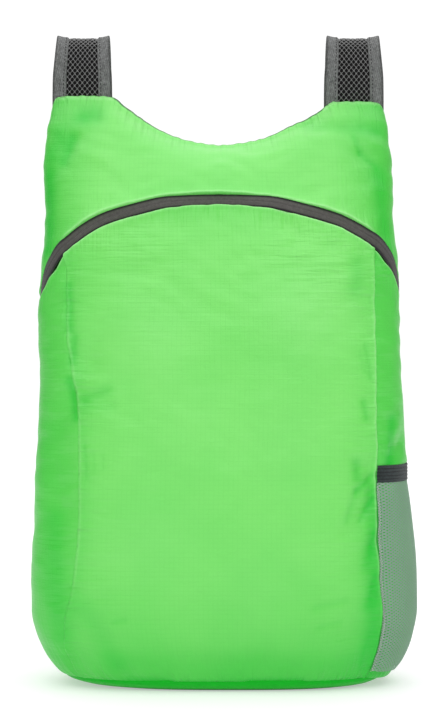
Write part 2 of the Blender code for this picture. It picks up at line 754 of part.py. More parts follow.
def make_lower_webbing(side, word, place, middle_bar, round_bar):
    """Webbing from the base corner up through the ladder lock and down again to a free end."""
    heights = np.array(WEBBING_SEWN)
    stations = np.full(len(heights), WEBBING_STATION * side)
    sewn = body(stations, heights, np.full(len(heights), WEBBING / 2 + 2 * TOUCH_GAP))
    step = 0.01
    tangents = plain_body(stations + step, heights) - plain_body(stations - step, heights)
    tangents /= np.linalg.norm(tangents, axis=1, keepdims=True)
    tail = place([(middle_bar + WEBBING_TAIL, round_bar)])
    turn = hairpin(middle_bar + WEBBING_LEAD, middle_bar, round_bar)
    run = place(turn)
    path = np.array([*sewn[::-1], *run, *tail])
    across = np.tile([1.0, 0.0, 0.0], (len(path), 1))
    across[: len(heights)] = tangents[::-1]
    webbing_strip(f"strap_webbing_{word}", path, WEBBING, across)


def add_block(name, collection, size, centre, axes):
    """A box of the given size, turned to the given axes."""
    mesh = bpy.data.meshes.new(name)
    work = bmesh.new()
    bmesh.ops.create_cube(work, size=1.0)
    for vert in work.verts:
        vert.co = Vector(centre + axes @ (np.array(vert.co) * size))
    work.to_mesh(mesh)
    work.free()
    block = bpy.data.objects.new(name, mesh)
    collection.objects.link(block)
    return block


def make_zip_slider():
    """The slider and its hanging pull tab as one piece, at the zip's end on the viewer's left."""
    station = np.array([SLIDER_STATION])
    height = zip_edge(station, 0)
    normal = outward(station, height)[0]
    seat = body(station, height, np.array([ZIP_RAISE + TOUCH_GAP]))[0]
    further = station - 0.02
    along = plain_body(further, zip_edge(further, 0))[0] - plain_body(station, height)[0]
    along -= normal * (along @ normal)
    along /= np.linalg.norm(along)
    axes = np.stack([along, np.cross(normal, along), normal], axis=1)
    down = np.array([0.0, 0.0, -1.0])
    down -= normal * (down @ normal)
    down /= np.linalg.norm(down)
    hanging = np.stack([down, np.cross(normal, down), normal], axis=1)
    rise = SLIDER_THICK / 2 + TOUCH_GAP
    centre = seat + normal * rise
    size = np.array([SLIDER_LENGTH, SLIDER_WIDTH, SLIDER_THICK])
    slider = add_block("zip_slider", pack, size, centre, axes)
    slider.data.materials.append(materials["slider_metal"])
    pull_size = np.array([PULL_LENGTH, PULL_WIDTH, PULL_THICK])
    reach = (SLIDER_WIDTH + PULL_LENGTH) / 2 - 2 * PULL_THICK
    pull_centre = centre + down * reach + normal * (SLIDER_THICK / 2 - PULL_THICK)
    pull = add_block("pull_tab_shape", shapes, pull_size, pull_centre, hanging)
    pull.hide_render = True
    pull.display_type = "WIRE"
    join = slider.modifiers.new("pull tab", "BOOLEAN")
    join.operation = "UNION"
    join.object = pull


clear_scene()
pack = make_collection("packable_backpack")
shapes = make_collection("joined_shapes")
materials = make_materials()
make_lower_panels()
make_yoke()
make_zip_band()
make_back_panel()
make_bottom_panel()
make_pocket()
for strap_side, strap_word in ((-1, "left"), (1, "right")):
    make_strap(strap_side, strap_word)
    make_ladder_lock(strap_side, strap_word)
make_zip_slider()
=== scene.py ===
"""The looks of a packable backpack: a stuffed ripstop daypack that stands on its base, with an
arched zip, two folded spacer mesh straps and a net pocket. Lengths are metres."""

import math

import bpy
import numpy as np
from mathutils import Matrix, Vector


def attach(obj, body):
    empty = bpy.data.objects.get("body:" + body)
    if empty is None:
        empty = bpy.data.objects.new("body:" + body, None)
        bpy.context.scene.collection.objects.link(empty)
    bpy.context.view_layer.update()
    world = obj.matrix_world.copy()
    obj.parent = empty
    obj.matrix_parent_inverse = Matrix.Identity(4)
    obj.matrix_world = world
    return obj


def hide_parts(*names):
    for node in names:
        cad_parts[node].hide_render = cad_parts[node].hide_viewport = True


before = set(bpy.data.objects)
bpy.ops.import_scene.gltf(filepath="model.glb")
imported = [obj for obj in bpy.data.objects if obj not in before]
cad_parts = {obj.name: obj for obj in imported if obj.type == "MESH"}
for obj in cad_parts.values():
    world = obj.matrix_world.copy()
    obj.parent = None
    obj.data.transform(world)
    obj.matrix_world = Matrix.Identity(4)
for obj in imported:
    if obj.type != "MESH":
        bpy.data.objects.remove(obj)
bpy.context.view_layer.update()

# The form of the stuffed bag. It is nearly that of its solids: here the base is a little wider,
# its seam is lower, and the front leans.
SHOULDER_HEIGHT = 0.420
BODY_WIDTH = 0.256
BODY_DEPTH = 0.128
NECK_DEPTH = 0.035
NECK_REACH_SHARE = 0.26
NECK_FADE = 1.6
TIP_RADIUS = 0.0022
CROWN_GAP = 0.0006
SEAM_SHARE = 0.86
BOTTOM_SEAM_HEIGHT = 0.0072
POCKET_LOW = 0.0132
ZIP_BAND = 0.0094
FOLD_WIDTH = 0.0100
FOLD_DEPTH = 0.0040

# The body by share of its height: half width, how far it reaches to the front and to the back, how
# square it is, and its lean to the right. All but the squareness are shares of the body's size.
SECTIONS = (
    (0.000, 0.690, 0.312, 0.312, 2.6, 0.036),
    (0.005, 0.800, 0.360, 0.352, 2.7, 0.026),
    (0.017, 0.892, 0.402, 0.387, 2.8, 0.016),
    (0.035, 0.942, 0.434, 0.410, 2.9, 0.010),
    (0.060, 0.983, 0.469, 0.434, 3.0, 0.005),
    (0.090, 1.016, 0.496, 0.449, 3.1, 0.002),
    (0.130, 1.041, 0.516, 0.461, 3.2, 0.000),
    (0.200, 1.045, 0.531, 0.469, 3.2, 0.000),
    (0.300, 1.036, 0.539, 0.465, 3.2, 0.000),
    (0.420, 1.028, 0.527, 0.453, 3.1, 0.000),
    (0.550, 1.010, 0.492, 0.430, 3.0, 0.001),
    (0.660, 0.998, 0.434, 0.395, 2.9, 0.000),
    (0.700, 0.990, 0.406, 0.382, 2.9, 0.000),
    (0.740, 0.986, 0.375, 0.367, 2.8, 0.001),
    (0.800, 0.977, 0.312, 0.344, 2.7, 0.000),
    (0.854, 0.974, 0.242, 0.316, 2.6, 0.000),
    (0.900, 0.967, 0.184, 0.289, 2.5, 0.000),
    (0.940, 0.956, 0.117, 0.258, 2.4, 0.000),
    (0.965, 0.947, 0.047, 0.227, 2.3, 0.000),
    (0.985, 0.936, -0.035, 0.184, 2.3, 0.000),
    (0.998, 0.927, -0.084, 0.150, 2.3, 0.000),
    (1.000, 0.919, -0.117, 0.117, 2.3, 0.000),
)
# How far the front half leans to the right, by share of the height.
FRONT_LEAN = (
    (0.000, 0.0000), (0.250, 0.0000), (0.360, 0.0006), (0.450, 0.0016), (0.530, 0.0023),
    (0.610, 0.0021), (0.670, 0.0018), (0.750, 0.0004), (0.820, 0.0000), (1.000, 0.0000),
)
# How deep the neckline is scooped, from the left edge (-1) to the right (1).
NECKLINE = (
    (-1.000, 0.000), (-0.670, 0.000), (-0.620, 0.060), (-0.580, 0.180), (-0.525, 0.316),
    (-0.470, 0.450), (-0.412, 0.583), (-0.338, 0.720), (-0.240, 0.853), (-0.129, 0.945),
    (0.010, 1.000), (0.165, 0.945), (0.285, 0.853), (0.378, 0.720), (0.455, 0.583), (0.523, 0.450),
    (0.578, 0.316), (0.628, 0.180), (0.665, 0.060), (0.700, 0.000), (1.000, 0.000),
)
# The zip's middle line: station and share of the height.
ZIP_ARCH = (
    (-2.00, 0.5960), (-1.50, 0.6400), (-1.30, 0.6690), (-1.12, 0.7060), (-1.00, 0.7385),
    (-0.80, 0.7755), (-0.55, 0.8020), (-0.30, 0.8235), (0.00, 0.8305), (0.30, 0.8250),
    (0.55, 0.8040), (0.80, 0.7790), (1.00, 0.7500), (1.12, 0.7235), (1.30, 0.6860), (1.50, 0.6550),
    (2.00, 0.6080),
)

# Where the front seams run, by share of the height: on the left and on the right.
SEAM_LINES = (
    (0.00, 1.000, 1.000), (0.05, 1.000, 1.015), (0.10, 0.955, 1.005), (0.18, 0.875, 0.978),
    (0.26, 0.845, 0.970), (0.36, 0.855, 0.978), (0.44, 0.868, 0.958), (0.52, 0.925, 0.960),
    (0.60, 0.960, 0.972), (0.68, 0.985, 0.985), (0.74, 1.000, 1.000), (1.00, 1.000, 1.000),
)

# Folds from one point of the body to another: two stations and shares of the height, then how wide
# and how deep, as shares of FOLD_WIDTH and FOLD_DEPTH. Station 0 is the middle of the front, 1 the
# front seam, 2 the back seam and 3 the middle of the back. Stations on the left are negative.
FOLDS = (
    (-0.85, 0.970, -0.58, 0.900, 1.00, 0.60),
    (-0.95, 0.930, -1.05, 0.870, 0.80, 0.50),
    (0.74, 0.960, 1.02, 0.950, 0.95, 0.90),
    (0.84, 0.935, 1.02, 0.865, 0.85, 0.85),
    (-0.80, 0.570, -0.86, 0.515, 1.10, 1.10),
    (-0.91, 0.510, -0.97, 0.440, 0.90, 0.85),
    (-0.97, 0.380, -0.92, 0.290, 1.00, 0.65),
    (0.88, 0.390, 0.97, 0.350, 1.00, 1.05),
    (0.98, 0.345, 0.80, 0.275, 0.90, 0.80),
    (1.20, 0.425, 1.08, 0.380, 0.80, 0.65),
    (-0.76, 0.130, -0.96, 0.055, 1.20, 0.90),
    (0.76, 0.130, 0.96, 0.055, 1.20, 0.90),
    (-0.40, 0.055, 0.30, 0.055, 1.10, 0.45),
    (-0.76, 0.755, -0.32, 0.785, 0.90, 0.50),
    (0.36, 0.780, 0.78, 0.735, 0.90, 0.50),
    (-0.64, 0.690, -0.36, 0.705, 0.90, 0.40),
    (1.50, 0.270, 1.50, 0.130, 3.20, 0.90),
    (-1.50, 0.500, -1.40, 0.250, 2.60, 0.90),
    (1.45, 0.620, 1.50, 0.460, 2.40, 0.75),
    (-2.75, 0.700, 2.75, 0.700, 1.80, 0.90),
    (-2.60, 0.410, 2.55, 0.430, 1.80, 0.85),
    (-2.50, 0.170, 2.60, 0.160, 1.80, 0.65),
)

# Creases of the front, as seen from the front: from one point to another, in millimetres to the
# right and up, then how wide and how deep, and how much shade is painted in them.
CREASES = (
    (-88.0, 406.0, -93.0, 404.8, 8.5, 1.3, 0.55),
    (-99.0, 402.5, -115.0, 393.3, 5.0, 0.6, 0.14),
    (-103.5, 388.5, -109.5, 371.1, 4.5, 0.9, 0.34),
    (-112.0, 386.0, -119.0, 376.0, 7.0, 0.6, 0.25),
    (-120.1, 361.6, -121.5, 307.2, 6.5, 0.8, 0.35),
    (64.4, 399.4, 112.9, 394.4, 6.0, 0.9, 0.24),
    (96.7, 389.4, 101.5, 377.6, 2.0, 0.9, 0.22),
    (101.5, 377.6, 113.1, 366.6, 2.2, 0.8, 0.20),
    (114.1, 361.2, 118.3, 310.5, 6.5, 0.8, 0.32),
    (-104.1, 282.2, -102.4, 251.3, 3.1, 0.9, 0.32),
    (-99.6, 246.0, -101.7, 229.3, 2.6, 0.9, 0.30),
    (-103.4, 216.8, -98.6, 190.6, 2.8, 1.1, 0.36),
    (-92.0, 203.9, -76.9, 210.1, 4.6, 1.5, 0.28),
    (-90.6, 197.7, -74.2, 199.1, 4.4, 0.9, 0.14),
    (-109.7, 161.0, -104.2, 131.8, 2.1, -0.8, 0.00),
    (-92.0, 172.0, -90.0, 150.0, 1.6, 0.5, 0.14),
    (-86.0, 168.0, -85.0, 154.0, 1.4, 0.4, 0.10),
    (-79.0, 166.0, -79.0, 156.0, 1.4, 0.4, 0.08),
    (102.0, 241.0, 105.5, 218.2, 1.8, 0.6, 0.20),
    (98.0, 236.0, 101.5, 222.0, 1.4, 0.5, 0.12),
    (100.7, 201.7, 102.7, 190.6, 2.6, 1.1, 0.30),
    (95.8, 159.9, 96.5, 150.3, 4.2, 1.5, 0.36),
    (109.0, 151.0, 95.9, 141.0, 2.8, 1.4, 0.30),
    (95.9, 141.0, 88.7, 120.7, 2.8, 1.1, 0.20),
    (108.6, 134.5, 98.8, 120.2, 2.4, 1.2, 0.20),
    (109.3, 109.7, 101.8, 89.0, 4.6, 1.4, 0.20),
    (110.1, 79.4, 103.2, 61.5, 4.6, 1.3, 0.20),
    (108.4, 140.0, 108.2, 20.3, 7.5, 0.5, 0.42),
    (118.1, 174.9, 114.6, 159.6, 1.7, -0.9, 0.00),
    (121.0, 190.0, 119.0, 150.0, 3.5, 0.8, 0.30),
    (97.0, 298.5, 95.4, 280.3, 6.0, 0.8, 0.25),
    (-71.1, 51.1, -63.5, 52.5, 2.1, 0.8, 0.12),
    (67.0, 60.8, 87.7, 64.9, 2.8, 0.9, 0.12),
    (69.1, 47.0, 84.2, 49.7, 2.1, 0.8, 0.10),
    (-61.2, 10.6, -33.4, 7.8, 2.8, 1.0, 0.10),
    (22.3, 7.8, 57.1, 8.5, 2.8, 1.0, 0.10),
    (-113.0, 120.0, -109.0, 40.0, 9.0, 0.3, 0.22),
    (-92.0, 60.0, -70.0, 20.0, 9.0, 0.4, 0.20),
    (-30.0, 338.0, 30.0, 338.0, 14.0, 0.0, 0.10),
)

# Where the front catches more light: millimetres to the right and up, radius and amount.
PALE_SPOTS = (
    (-52.0, 245.0, 34.0, 0.10), (66.0, 262.0, 34.0, 0.13), (-20.0, 180.0, 40.0, 0.05),
    (50.0, 175.0, 34.0, 0.06), (-48.0, 110.0, 36.0, 0.07), (30.0, 80.0, 40.0, 0.05),
)

# Painted shade on the green, by share of the height on the front, and round the body by station.
SHADE_BY_HEIGHT = (
    (0.000, 1.00), (0.017, 0.95), (0.025, 0.72), (0.050, 0.66), (0.085, 0.42), (0.150, 0.27),
    (0.220, 0.22), (0.350, 0.13), (0.520, 0.08), (1.000, 0.06),
)
SHADE_ON_RIGHT = (
    (0.0, 0.0), (0.74, 0.0), (0.88, 0.12), (1.0, 0.28),
    (1.001, 0.60), (1.3, 0.58), (2.0, 0.45), (3.0, 0.25),
)
SHADE_ON_LEFT = (
    (0.0, 0.0), (0.70, 0.0), (0.86, 0.06), (1.0, 0.32),
    (1.15, 0.50), (1.4, 0.66), (2.0, 0.55), (3.0, 0.25),
)
SHADE_ROUND_YOKE = (
    (0.0, 0.0), (0.72, 0.0), (0.86, 0.12), (1.0, 0.36), (1.2, 0.52), (2.0, 0.45), (3.0, 0.30),
)
# Darker patches of ruckles in the cloth: millimetres to the right and up.
RUCKLED_SPOTS = ((-56, 312), (62, 310), (88, 292))

# How high the cloth's edges stand above the form, by distance from the edge.
ZIP_HEM = (
    (0.0, -0.0022), (0.0003, 0.0004), (0.0009, 0.0013),
    (0.0019, 0.0011), (0.0045, 0.0003), (0.009, 0.0),
)
SIDE_HEM = (
    (0.0, -0.0007), (0.0004, 0.0001), (0.0010, 0.0005),
    (0.0020, 0.0002), (0.0045, -0.0002), (0.010, 0.0),
)
LEFT_HEM = (
    (0.0, -0.0003), (0.0006, 0.0001), (0.0015, 0.0003),
    (0.0030, 0.0001), (0.0050, -0.0001), (0.012, 0.0),
)
LEFT_GUSSET_HEM = ((0.0, -0.0005), (0.0010, -0.0003), (0.0030, -0.0001), (0.008, 0.0))
GUSSET_HEM = ((0.0, -0.0009), (0.0008, -0.0006), (0.0025, -0.0004), (0.006, -0.0001), (0.012, 0.0))
SIDE_ZIP_HEM = (
    (0.0, -0.0014), (0.0003, -0.0004), (0.0009, 0.0002),
    (0.0019, 0.0001), (0.0045, 0.0), (0.009, 0.0),
)
SUNK_HEM = ((0.0, -0.0014), (0.0008, -0.0009), (0.0025, -0.0004), (0.006, -0.0001), (0.012, 0.0))
BASE_HEM = ((0.0, -0.0008), (0.0008, -0.0003), (0.0020, 0.0), (0.006, 0.0001), (0.012, 0.0))
EDGE_STEPS = (0.0003, 0.0007, 0.0012, 0.0020, 0.0032)

# The middle line of a shoulder strap, as in its solids.
STRAP_PATH = (
    (0.000, 1.0000, 0.00, 0.1, 1.03),
    (0.006, 1.0286, 0.00, 0.4, 1.02),
    (0.027, 1.0595, 0.00, 0.8, 0.97),
    (0.070, 1.0857, 0.00, 1.0, 0.93),
    (0.148, 1.0988, 0.01, 1.0, 0.92),
    (0.234, 1.0905, 0.02, 0.9, 0.93),
    (0.305, 1.0643, 0.03, 0.6, 0.95),
    (0.367, 1.0190, 0.05, 0.3, 0.98),
    (0.445, 0.9476, 0.07, 0.1, 1.00),
    (0.539, 0.8524, 0.09, 0.0, 1.00),
    (0.605, 0.7381, 0.10, 0.0, 1.00),
    (0.633, 0.6190, 0.12, 0.0, 1.00),
    (0.617, 0.5119, 0.13, 0.0, 1.00),
    (0.574, 0.4286, 0.14, 0.0, 1.00),
)
STRAP_WIDTH = 0.0420
STRAP_SPREAD = 0.383 * BODY_WIDTH
STRAP_CUP = 0.0026
STRAP_SUNK = 0.0130
STRAP_PAD_THICK = 0.0050
PAD_EDGE_THICK = 0.0022
BINDING_WIDTH = 0.0084
TOUCH_GAP = 0.0003
SIDE_GAP = TOUCH_GAP + PAD_EDGE_THICK * STRAP_CUP / (STRAP_WIDTH / 2)
PAD_HALF = STRAP_WIDTH / 2 - SIDE_GAP - 0.0008
MESH_CELLS_ACROSS = 7
MESH_CELL = 0.0043
MESH_HOLE = 0.76

POCKET_HEIGHT = 0.145
POCKET_BULGE = 0.0066
POCKET_START = 1.001
POCKET_SPAN = 0.979
SEAM_SHARE_OF_POCKET = 0.15
NET_CELLS = (38, 62)
NET_HOLE = 0.43
UNDER_NET = 0.0009
ELASTIC_BAND = 0.0135
ELASTIC_RIBS = 5
ELASTIC_EDGE = ((0, -0.0009), (0.0003, -0.0002), (0.0008, 0.0), (0.01, 0.0))
# How full the pocket is, by share of its height.
POCKET_PROFILE = (
    (0.00, 0.60), (0.06, 0.92), (0.15, 1.10), (0.28, 1.12), (0.42, 1.03), (0.60, 0.87),
    (0.80, 0.55), (0.90, 0.32), (1.00, 0.00),
)

# Steps of the cloths, the seam round the base and the right shoulder's sag.
CLOTH_STEP = 0.0018
BACK_STEP = 0.0026
BASE_SEAM = BOTTOM_SEAM_HEIGHT / SHOULDER_HEIGHT
RIGHT_SAG = 0.0042

# Stitches: from one to the next, length and thickness, and how much their size varies.
NET_STITCH = (0.0011, 0.0011, 0.0005)
BINDING_STITCH = (0.0026, 0.0017, 0.00075)
LEAST_STITCH, MOST_STITCH = 0.85, 1.1
STITCH_SIDES = 6
STITCH_RINGS = 4

# Ripstop squares and threads, and colours that the masks bring in: painted shade and highlights.
RIPSTOP_CELL = 0.0033
RIPSTOP_YARN = 0.00035
THREAD_PITCH = 0.0005
SHADED = (0.006, 0.006, 0.006, 1)
HIGHLIGHT_GREEN = (0.42, 0.90, 0.36, 1)
DIM_GREEN = (0.004, 0.09, 0.012, 1)

# The studio's light and camera.
AIR_BEHIND = 1.05
AIR_ABOVE = 1.75
AIR_DIM = 0.18
KEY_POWER = 11.5
KEY_PLACE = (0.15, -2.0, 1.3)
KEY_TARGET = (0, 0, 0.22)
KEY_WIDTH, KEY_HEIGHT = 1.5, 1.1
FLOOR_GLOW = 0.44
CAMERA_PLACE = (0.0014, -1.435, 0.25)
CAMERA_TARGET = (0.0014, 0.0, 0.2295)
CAMERA_LENS = 100


def ramp(value, reach):
    """0 up to zero, 1 from a reach on, and even between."""
    return np.clip(value / reach, 0, 1)


def fade(away, reach):
    """1 at no distance, and less and less away from it."""
    return np.exp(-away / reach)


def bell(away, wide):
    """1 at no distance, and a bell's curve to both sides of it."""
    return np.exp(-((away / wide) ** 2))


def smooth_row(at, table, value=1):
    """Reads a table between its rows, on a curve that never overshoots them."""
    xs = np.array([row[0] for row in table])
    ys = np.array([row[value] for row in table])
    steps = np.diff(xs)
    slopes = np.diff(ys) / steps
    tangents = np.concatenate([slopes[:1], np.zeros(len(xs) - 2), slopes[-1:]])
    both = slopes[:-1] * slopes[1:] > 0
    means = 2 * slopes[:-1] * slopes[1:] / np.where(both, slopes[:-1] + slopes[1:], 1.0)
    tangents[1:-1] = np.where(both, means, 0.0)
    at = np.clip(at, xs[0], xs[-1])
    low = np.clip(np.searchsorted(xs, at, side="right") - 1, 0, len(steps) - 1)
    step = steps[low]
    u = (at - xs[low]) / step
    start = (1 + 2 * u) * (1 - u) ** 2 * ys[low] + u * (1 - u) ** 2 * step * tangents[low]
    end = u * u * (3 - 2 * u) * ys[low + 1] - u * u * (1 - u) * step * tangents[low + 1]
    return start + end


def section(height):
    """Half width, middle, half depth and shape of the body at a share of its height."""
    width, front, back, square, lean = (smooth_row(height, SECTIONS, i) for i in range(1, 6))
    half_width = width * BODY_WIDTH / 2
    half_depth = (front + back) * BODY_DEPTH / 2 + CROWN_GAP / 2
    tip = 2 * half_width * TIP_RADIUS / half_depth**2
    return half_width, (back - front) * BODY_DEPTH / 2, half_depth, square, tip, lean * BODY_WIDTH


def neck_drop(across, height):
    """How far the scooped neckline pulls a point of the body down."""
    reach = ramp(height - 1 + NECK_REACH_SHARE, NECK_REACH_SHARE) ** NECK_FADE
    return NECK_DEPTH * reach * smooth_row(across, NECKLINE)


def plain_body(station, height):
    """Points of the body before its folds."""
    half_width, middle, half_depth, square, tip, lean = section(height)
    side = np.sign(station)
    round_it = np.abs(station)
    on_face = (round_it <= 1) | (round_it >= 2)
    across = np.where(on_face, np.where(round_it <= 1, round_it, 3 - round_it) * SEAM_SHARE, 0)
    face_depth = (1 - across ** (square + tip)) ** (1 / square)
    seam_depth = (1 - SEAM_SHARE ** (square + tip)) ** (1 / square)
    gusset_depth = (2 * np.clip(round_it, 1, 2) - 3) * seam_depth
    deep = np.where(on_face, np.where(round_it < 1.5, -1, 1) * face_depth, gusset_depth)
    gusset_across = (1 - np.abs(gusset_depth) ** square) ** (1 / (square + tip))
    across = np.where(on_face, across, gusset_across)
    front_lean = smooth_row(height, FRONT_LEAN) * ramp(1.8 - round_it, 0.3)
    front_lean = front_lean * np.where(side < 0, 1 - 0.75 * bell(height - 0.575, 0.06), 1)
    x = side * across * half_width + lean + front_lean
    z = height * SHOULDER_HEIGHT - neck_drop(side * across, height)
    return np.stack([x, middle + deep * half_depth, z], axis=-1)


def outward(station, height, step=0.004):
    """The directions square to the body, facing out."""
    up = plain_body(station, np.clip(height + step, 0, 1))
    up = up - plain_body(station, np.clip(height - step, 0, 1))
    bend = 2 * step
    after = plain_body(np.where(station + bend > 3, station + bend - 6, station + bend), height)
    before = plain_body(np.where(station - bend < -3, station - bend + 6, station - bend), height)
    normal = np.cross(after - before, up)
    return normal / np.linalg.norm(normal, axis=-1, keepdims=True)


def stand_off(points, station, height, lift):
    """Points of the body moved out from it by a lift."""
    return points + outward(station, height) * lift[..., None]


def fold_depth(points):
    """How deep the folds press the cloth in at these points."""
    depth = np.zeros(points.shape[:-1])
    for station_1, height_1, station_2, height_2, wide, deep in FOLDS:
        ends = plain_body(np.array([station_1, station_2]), np.array([height_1, height_2]))
        along = ends[1] - ends[0]
        share = ramp((points - ends[0]) @ along, along @ along)
        away = np.linalg.norm(points - ends[0] - share[..., None] * along, axis=-1)
        pressed = deep * FOLD_DEPTH * bell(away, wide * FOLD_WIDTH)
        depth += pressed * (0.5 + 2 * share * (1 - share))
    return depth


def press_creases(points):
    """How deep the creases press the front in at these points, and the shade painted in them."""
    depth = np.zeros(points.shape[:-1])
    painted_crease_shade = np.zeros(points.shape[:-1])
    seen = points[..., [0, 2]] * 1000
    front = ramp(0.035 - points[..., 1], 0.01)
    for x1, z1, x2, z2, wide, deep, dark in CREASES:
        start = np.array([x1, z1])
        along = np.array([x2, z2]) - start
        share = ramp((seen - start) @ along, along @ along)
        away = np.linalg.norm(seen - start - share[..., None] * along, axis=-1)
        near = bell(away, wide) * front
        depth += near * deep / 1000
        painted_crease_shade += near * dark
    return depth, painted_crease_shade


def shade_by_place(station, height, on_right=SHADE_ON_RIGHT, on_left=SHADE_ON_LEFT):
    """Painted shade on the green, darker low down and round the sides, before its creases."""
    low = smooth_row(height, SHADE_BY_HEIGHT)
    round_it = np.abs(station)
    around = np.where(station < 0, smooth_row(round_it, on_left), smooth_row(round_it, on_right))
    return low + around * (1 - low)


def zip_edge(station, side):
    """Share of the height at the zip band's upper (1), middle (0) or lower (-1) edge."""
    step = 0.01
    station = np.clip(station, -2 + step, 2 - step)
    height = smooth_row(station, ZIP_ARCH)
    after, before = station + step, station - step
    along = plain_body(after, smooth_row(after, ZIP_ARCH))
    along = along - plain_body(before, smooth_row(before, ZIP_ARCH))
    along = along / np.linalg.norm(along, axis=-1, keepdims=True)
    up = (plain_body(station, height + step) - plain_body(station, height - step)) / (2 * step)
    low_side = ramp(np.abs(station) - 0.80, 0.45)
    low_side = low_side * np.where(station > 0, 0.45, 0.22) * (side < 0)
    climb = np.linalg.norm(np.cross(up, along), axis=-1)
    return height + side * (1 + low_side) * ZIP_BAND / 2 / climb


def seamed(station, height):
    """Stations moved round the body, so that station 1 follows the front seams."""
    seam = np.where(station < 0, smooth_row(height, SEAM_LINES, 1), smooth_row(height, SEAM_LINES, 2))
    round_it = np.abs(station)
    on_gusset = seam + (round_it - 1) * (2 - seam)
    return np.sign(station) * np.where(round_it < 1, round_it * seam, on_gusset)


def ripple(along, seed, shortest, longest):
    """An uneven wave along a seam, between -1 and 1, from a few sines of mixed length."""
    draw = np.random.default_rng(seed)
    wave = np.zeros_like(along)
    for _ in range(7):
        length = draw.uniform(shortest, longest)
        wave += np.sin(2 * np.pi * (along / length + draw.uniform()))
    return np.clip(wave / 3.2, -1, 1)


def rolling(points, seed=4):
    """Broad uneven swells of the stuffing, in metres."""
    draw = np.random.default_rng(seed)
    swell = np.zeros(points.shape[:-1])
    for _ in range(16):
        direction = draw.normal(size=3)
        direction /= np.linalg.norm(direction)
        length = draw.uniform(0.045, 0.11)
        swell += 0.00022 * np.sin(2 * np.pi * ((points @ direction) / length + draw.uniform()))
    return swell


def wrinkles(points, seed=12):
    """Uneven shallow wrinkles that run mostly sideways and come and go, in metres."""
    draw = np.random.default_rng(seed)
    x, y, z = points[..., 0], points[..., 1], points[..., 2]
    height = np.zeros(points.shape[:-1])
    for _ in range(9):
        slant = draw.uniform(-0.35, 0.35)
        length = draw.uniform(0.009, 0.024)
        bend = 0.4 * np.sin(2 * np.pi * (x / draw.uniform(0.05, 0.12) + draw.uniform()))
        wave = np.sin(2 * np.pi * ((z + slant * x + 0.3 * y) / length + bend + draw.uniform()))
        spots = x / draw.uniform(0.05, 0.11) + z / draw.uniform(0.07, 0.2) + draw.uniform()
        spots = np.sin(2 * np.pi * spots)
        patch = np.clip(spots - 0.15, 0, 1) ** 1.5
        height += 0.016 * length * patch * wave
    return height


ROUND_TABLE = np.linspace(0, 3, 301)
WALK = np.diff(plain_body(ROUND_TABLE, np.full(301, 0.4)), axis=0)
ROUND_LENGTHS = np.concatenate([[0], np.cumsum(np.linalg.norm(WALK, axis=1))])


def girth_to(station):
    """Metres of cloth from the middle of the front round to a station."""
    return np.interp(np.abs(station), ROUND_TABLE, ROUND_LENGTHS)


def cloth_coordinates(station, points):
    """Metres round the bag and up it, for the weave."""
    girth = np.sign(station) * girth_to(station)
    return np.stack([girth, points[..., 2]], axis=-1)


def edged_shares(length, step, hem_both=(True, True)):
    """Shares of a length at even steps, with closer ones beside its hemmed ends."""
    count = max(4, int(length / step))
    edge = np.array(EDGE_STEPS) / length
    shares = np.linspace(0, 1, count + 1)
    if hem_both[0]:
        shares = np.concatenate([[0], edge, shares[shares > edge[-1] * 1.3]])
    if hem_both[1]:
        shares = np.concatenate([shares[shares < 1 - edge[-1] * 1.3], 1 - edge[::-1], [1]])
    return shares


FACE_LENGTH = float(girth_to(1))
GUSSET_LENGTH = float(girth_to(2) - girth_to(1))
FRONT_STATIONS = -1 + 2 * edged_shares(2 * FACE_LENGTH, CLOTH_STEP)
GUSSET_STATIONS = 1 + edged_shares(GUSSET_LENGTH, CLOTH_STEP)


def faces_mesh(name, points, faces, cloth=None):
    """A smooth mesh of points and faces. cloth: its place in the weave, in metres."""
    mesh = bpy.data.meshes.new(name)
    mesh.from_pydata(points.tolist(), [], faces.tolist())
    mesh.polygons.foreach_set("use_smooth", np.ones(len(faces), bool))
    if cloth is not None:
        layer = mesh.uv_layers.new(name="cloth")
        corners = cloth.reshape(-1, 2)[faces.ravel()]
        layer.data.foreach_set("uv", corners.astype(np.float32).ravel())
    return mesh


def grid_mesh(name, grid, cloth=None, closed=False):
    """A smooth mesh through rows of points that go up, in columns that go to the viewer's right."""
    rows, columns = grid.shape[:2]
    corner = np.arange(rows * columns).reshape(rows, columns)
    if closed:
        corner = np.concatenate([corner, corner[:, :1]], axis=1)
    low, high = corner[:-1], corner[1:]
    quads = np.stack([low[:, :-1], low[:, 1:], high[:, 1:], high[:, :-1]], axis=-1)
    return faces_mesh(name, grid.reshape(-1, 3), quads.reshape(-1, 4), cloth)


def set_masks(mesh, **masks):
    """Keeps numbers between 0 and 1 for each point of a mesh, which its material reads."""
    for name, values in masks.items():
        attribute = mesh.attributes.new(name, "FLOAT", "POINT")
        attribute.data.foreach_set("value", np.clip(values, 0, 1).astype(np.float32).ravel())


def add_object(name, data):
    """A new object in the scene."""
    item = bpy.data.objects.new(name, data)
    bpy.context.scene.collection.objects.link(item)
    return item


def place_piece(name, mesh, material, slot, *nodes):
    """Shows a mesh as a piece of the bag, in place of the solids it stands for."""
    piece = add_object(name, mesh)
    if not mesh.materials:
        mesh.materials.append(material)
    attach(piece, "root")
    if nodes:
        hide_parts(*nodes)
    return piece


# Materials.


def new_material(name):
    """A new material, its tree of nodes and its shader."""
    material = bpy.data.materials.new(name)
    material.use_nodes = True
    return material, material.node_tree, material.node_tree.nodes["Principled BSDF"]


def fill(tree, node, inputs):
    """Sets a node's inputs to values, or links other sockets to them."""
    for name, value in inputs.items():
        if isinstance(value, bpy.types.NodeSocket):
            tree.links.new(value, node.inputs[name])
        else:
            node.inputs[name].default_value = value


def add_node(tree, kind, inputs, **settings):
    """A new node with its settings and inputs."""
    node = tree.nodes.new(kind)
    for name, value in settings.items():
        setattr(node, name, value)
    fill(tree, node, inputs)
    return node


